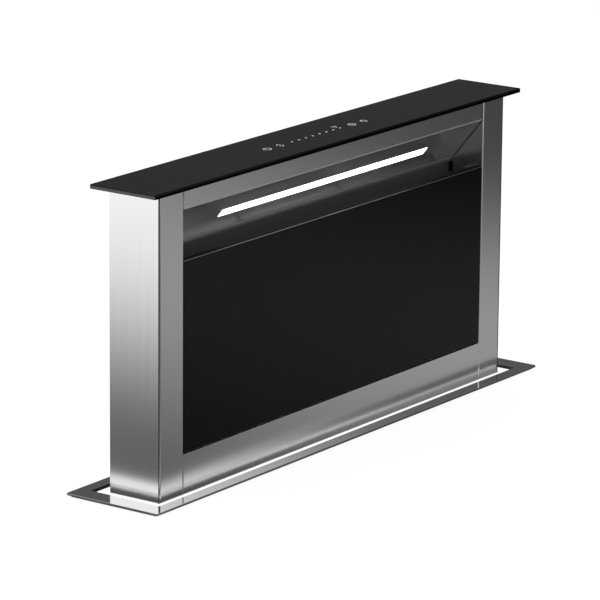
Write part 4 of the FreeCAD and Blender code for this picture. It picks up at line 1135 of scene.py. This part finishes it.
# %% Rivets
front_low, front_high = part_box("chassis_front_panel")
RIVETS, RIVET_PITCH, RIVET_INSET = 6, 0.1165, 0.006
dome = [(-0.0002, 0), (-0.0002, 0.0029), (0.0002, 0.0029), (0.0009, 0.0018), (0.0011, 0)]
first_rivets = Form()
for side in (-1, 1):
    rivet_x, rivet_z = side * (front_high.x - RIVET_INSET), front_low.z + RIVET_PITCH / 2
    first_rivets.turned(dome, (rivet_x, front_low.y, rivet_z), FRONT, 16)
    first_rivets.turned(dome, (rivet_x, -front_low.y, rivet_z), BACK, 16)
rivets = lined(first_rivets.mesh("rivets"), bright_zinc, RIVETS, 0, 0, RIVET_PITCH)
piece("rivet_domes", rivets, bright_zinc, "chassis", "bright_steel")

# %% [markdown]
# ## Motors and gearbox
# The blower's motor is a pressed can with a rolled seam and a ribbed end shield. The lift motor is
# a long can on the worm gearbox, whose cast front has a cover plate with four screws. All are
# lathe profiles with the small steps that a press or a mould leaves.

# %% Blower motor
can_profile = [(0.030, 0), (0.030, 0.0045), (0, 0.0045), (0, 0.0618), (0.0003, 0.062), (0.0036, 0.062)]
can_profile += [(MOTOR_FLANGE, 0.0616), (MOTOR_FLANGE, 0.0495), (0.0052, 0.048), (0.0170, 0.048)]
can_profile += [(0.0176, 0.0472), (0.0198, 0.0472), (0.0204, 0.048), (0.0395, 0.048), (0.0428, 0.0468)]
can_profile += [(0.0447, 0.0440), (0.0451, 0.0410), (0.0451, 0.0145), (0.0459, 0.0135), (0.0459, 0)]
can = Form().turned(can_profile, motor_seat, FRONT, 72).mesh("can")
shield_rib = Form().block((0.016, -0.0459, -0.0011), (0.0405, -0.0445, 0.0011), 0.0003, motor_seat)
shield_ribs = ringed(shield_rib.mesh("rib"), motor_paint, 16, BACK, motor_seat)
blower_can = joined("blower_can", can, shield_ribs)
piece("blower_can", blower_can, motor_paint, "chassis", "motor_steel", "blower_motor")

# %% Lift motor and gearbox cover
lift_low, lift_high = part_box("lift_motor")
lift_foot = Vector(((lift_low.x + lift_high.x) / 2, (lift_low.y + lift_high.y) / 2, lift_low.z))
CAN, GROOVE = 0.024, 0.0233
lift_profile = [(0, 0), (0, 0.0238), (0.0002, CAN), (0.0045, CAN), (0.0050, GROOVE), (0.0072, GROOVE)]
lift_profile += [(0.0077, CAN), (0.0795, CAN), (0.0800, GROOVE), (0.0822, GROOVE), (0.0827, CAN)]
lift_profile += [(0.0868, CAN), (0.0880, 0.0228), (0.0880, 0.0210), (0.0950, 0.0210), (0.0960, 0.0200)]
lift_profile += [(0.0960, 0.0085), (0.0945, 0.0075), (0.0945, 0)]
lift_can = Form().turned(lift_profile, lift_foot, UP, 56)
for x in (-0.012, 0.012):
    lift_can.block((x - 0.0004, -0.003, 0.0955), (x + 0.0004, 0.003, 0.1025), 0.0001, lift_foot)
piece("lift_can", lift_can.mesh("lift_can"), motor_paint, "chassis", "motor_steel", "lift_motor")

gear_low, gear_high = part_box("lift_gearbox")
cover_low = (gear_low.x + 0.005, gear_low.y - 0.002, gear_low.z + 0.006)
cover_high = (gear_high.x - 0.005, gear_low.y + 0.0005, gear_high.z - 0.008)
cover = Form().block(cover_low, cover_high, 0.0008)
boss = [(-0.001, 0), (-0.001, 0.013), (0.0035, 0.012), (0.0042, 0.011), (0.0042, 0.006)]
boss += [(0.003, 0.0055), (0.003, 0)]
cover.turned(boss, (0, gear_low.y - 0.0018, (gear_low.z + gear_high.z) / 2 - 0.001), FRONT)
piece("gearbox_cover", cover.mesh("cover"), cast_metal, "chassis", "cast_housing")
cover_seat = Vector((gear_low.x + 0.010, gear_low.y - 0.002, gear_low.z + 0.011))
cover_button = button_screw(cover_seat, 0.0012, 0.0015, 0.003, 0.002)
span = gear_high - gear_low
cover_buttons = at_corners(cover_button, bright_zinc, (span.x - 0.020, 0, 0), (0, 0, span.z - 0.024))
piece("gearbox_screws", cover_buttons, bright_zinc, "chassis", "bright_steel")

# %% [markdown]
# ## Moulded ribs and vents
# A large flat moulding is never left flat: ribs keep the fan's housing from drumming, and louvres
# let the control box cool. Both are one small block repeated.

# %% Ribs and louvres
volute_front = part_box("volute_front_shell")[0].y
rib_centre = (0, volute_front, motor_seat.z)
rib = Form().block((0.066, -0.0022, -0.001), (0.108, 0.0005, 0.001), 0.0003, rib_centre)
housing_ribs = ringed(rib.mesh("rib"), plastic, 24, BACK, motor_seat)
piece("housing_ribs", housing_ribs, plastic, "chassis", "black_plastic")

lid_corner = (lid_low.x, lid_low.y, lid_high.z)
louvre = Form().block((0.030, -0.0014, -0.032), (0.0335, 0.0005, -0.012), 0.0005, lid_corner)
louvres = lined(louvre.mesh("louvre"), plastic, 15, 0.0071, 0, 0)
piece("lid_louvres", louvres, plastic, "chassis", "black_plastic")

gland_low, gland_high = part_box("mains_gland")
gland_nut = Vector(((gland_low.x + gland_high.x) / 2, (gland_low.y + gland_high.y) / 2, lid_low.z))
gland_rib = Form().block((0.0102, -0.0009, -0.0046), (0.0114, 0.0009, -0.0006), 0.0003, gland_nut)
gland_ribs = ringed(gland_rib.mesh("rib"), plastic, 18, UP, gland_nut)
piece("gland_ribs", gland_ribs, plastic, "chassis", "black_plastic")

# %% [markdown]
# ## Lamp chips
# Behind the lens a strip of small white chips makes the light. They lie on the sloping board, so
# the first chip is built along the slope, and a line of copies does the rest.

# %% Lamp chips
board_low, board_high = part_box("led_board")
board_middle = (board_low + board_high) / 2
CHIPS, CHIP_INSET = 46, 0.008
slope = cove.normalized()
outward = rise.normalized()
chip_foot = Vector((board_low.x + CHIP_INSET, board_middle.y, board_middle.z)) + outward * 0.0006
chip_levels = []
for height, half in ((-0.0002, 0.0014), (0.0006, 0.0014), (0.0007, 0.0011)):
    middle = chip_foot + outward * height
    chip_levels.append([middle + Vector((a * half, 0, 0)) + slope * (b * half) for a, b in SIGNS])
chip = Form().rings(chip_levels).mesh("chip")
chip_step = (board_high.x - board_low.x - 2 * CHIP_INSET) / (CHIPS - 1)
piece("lamp_chips", lined(chip, lens, CHIPS, chip_step, 0, 0), lens, "tower", "lamp_lens")
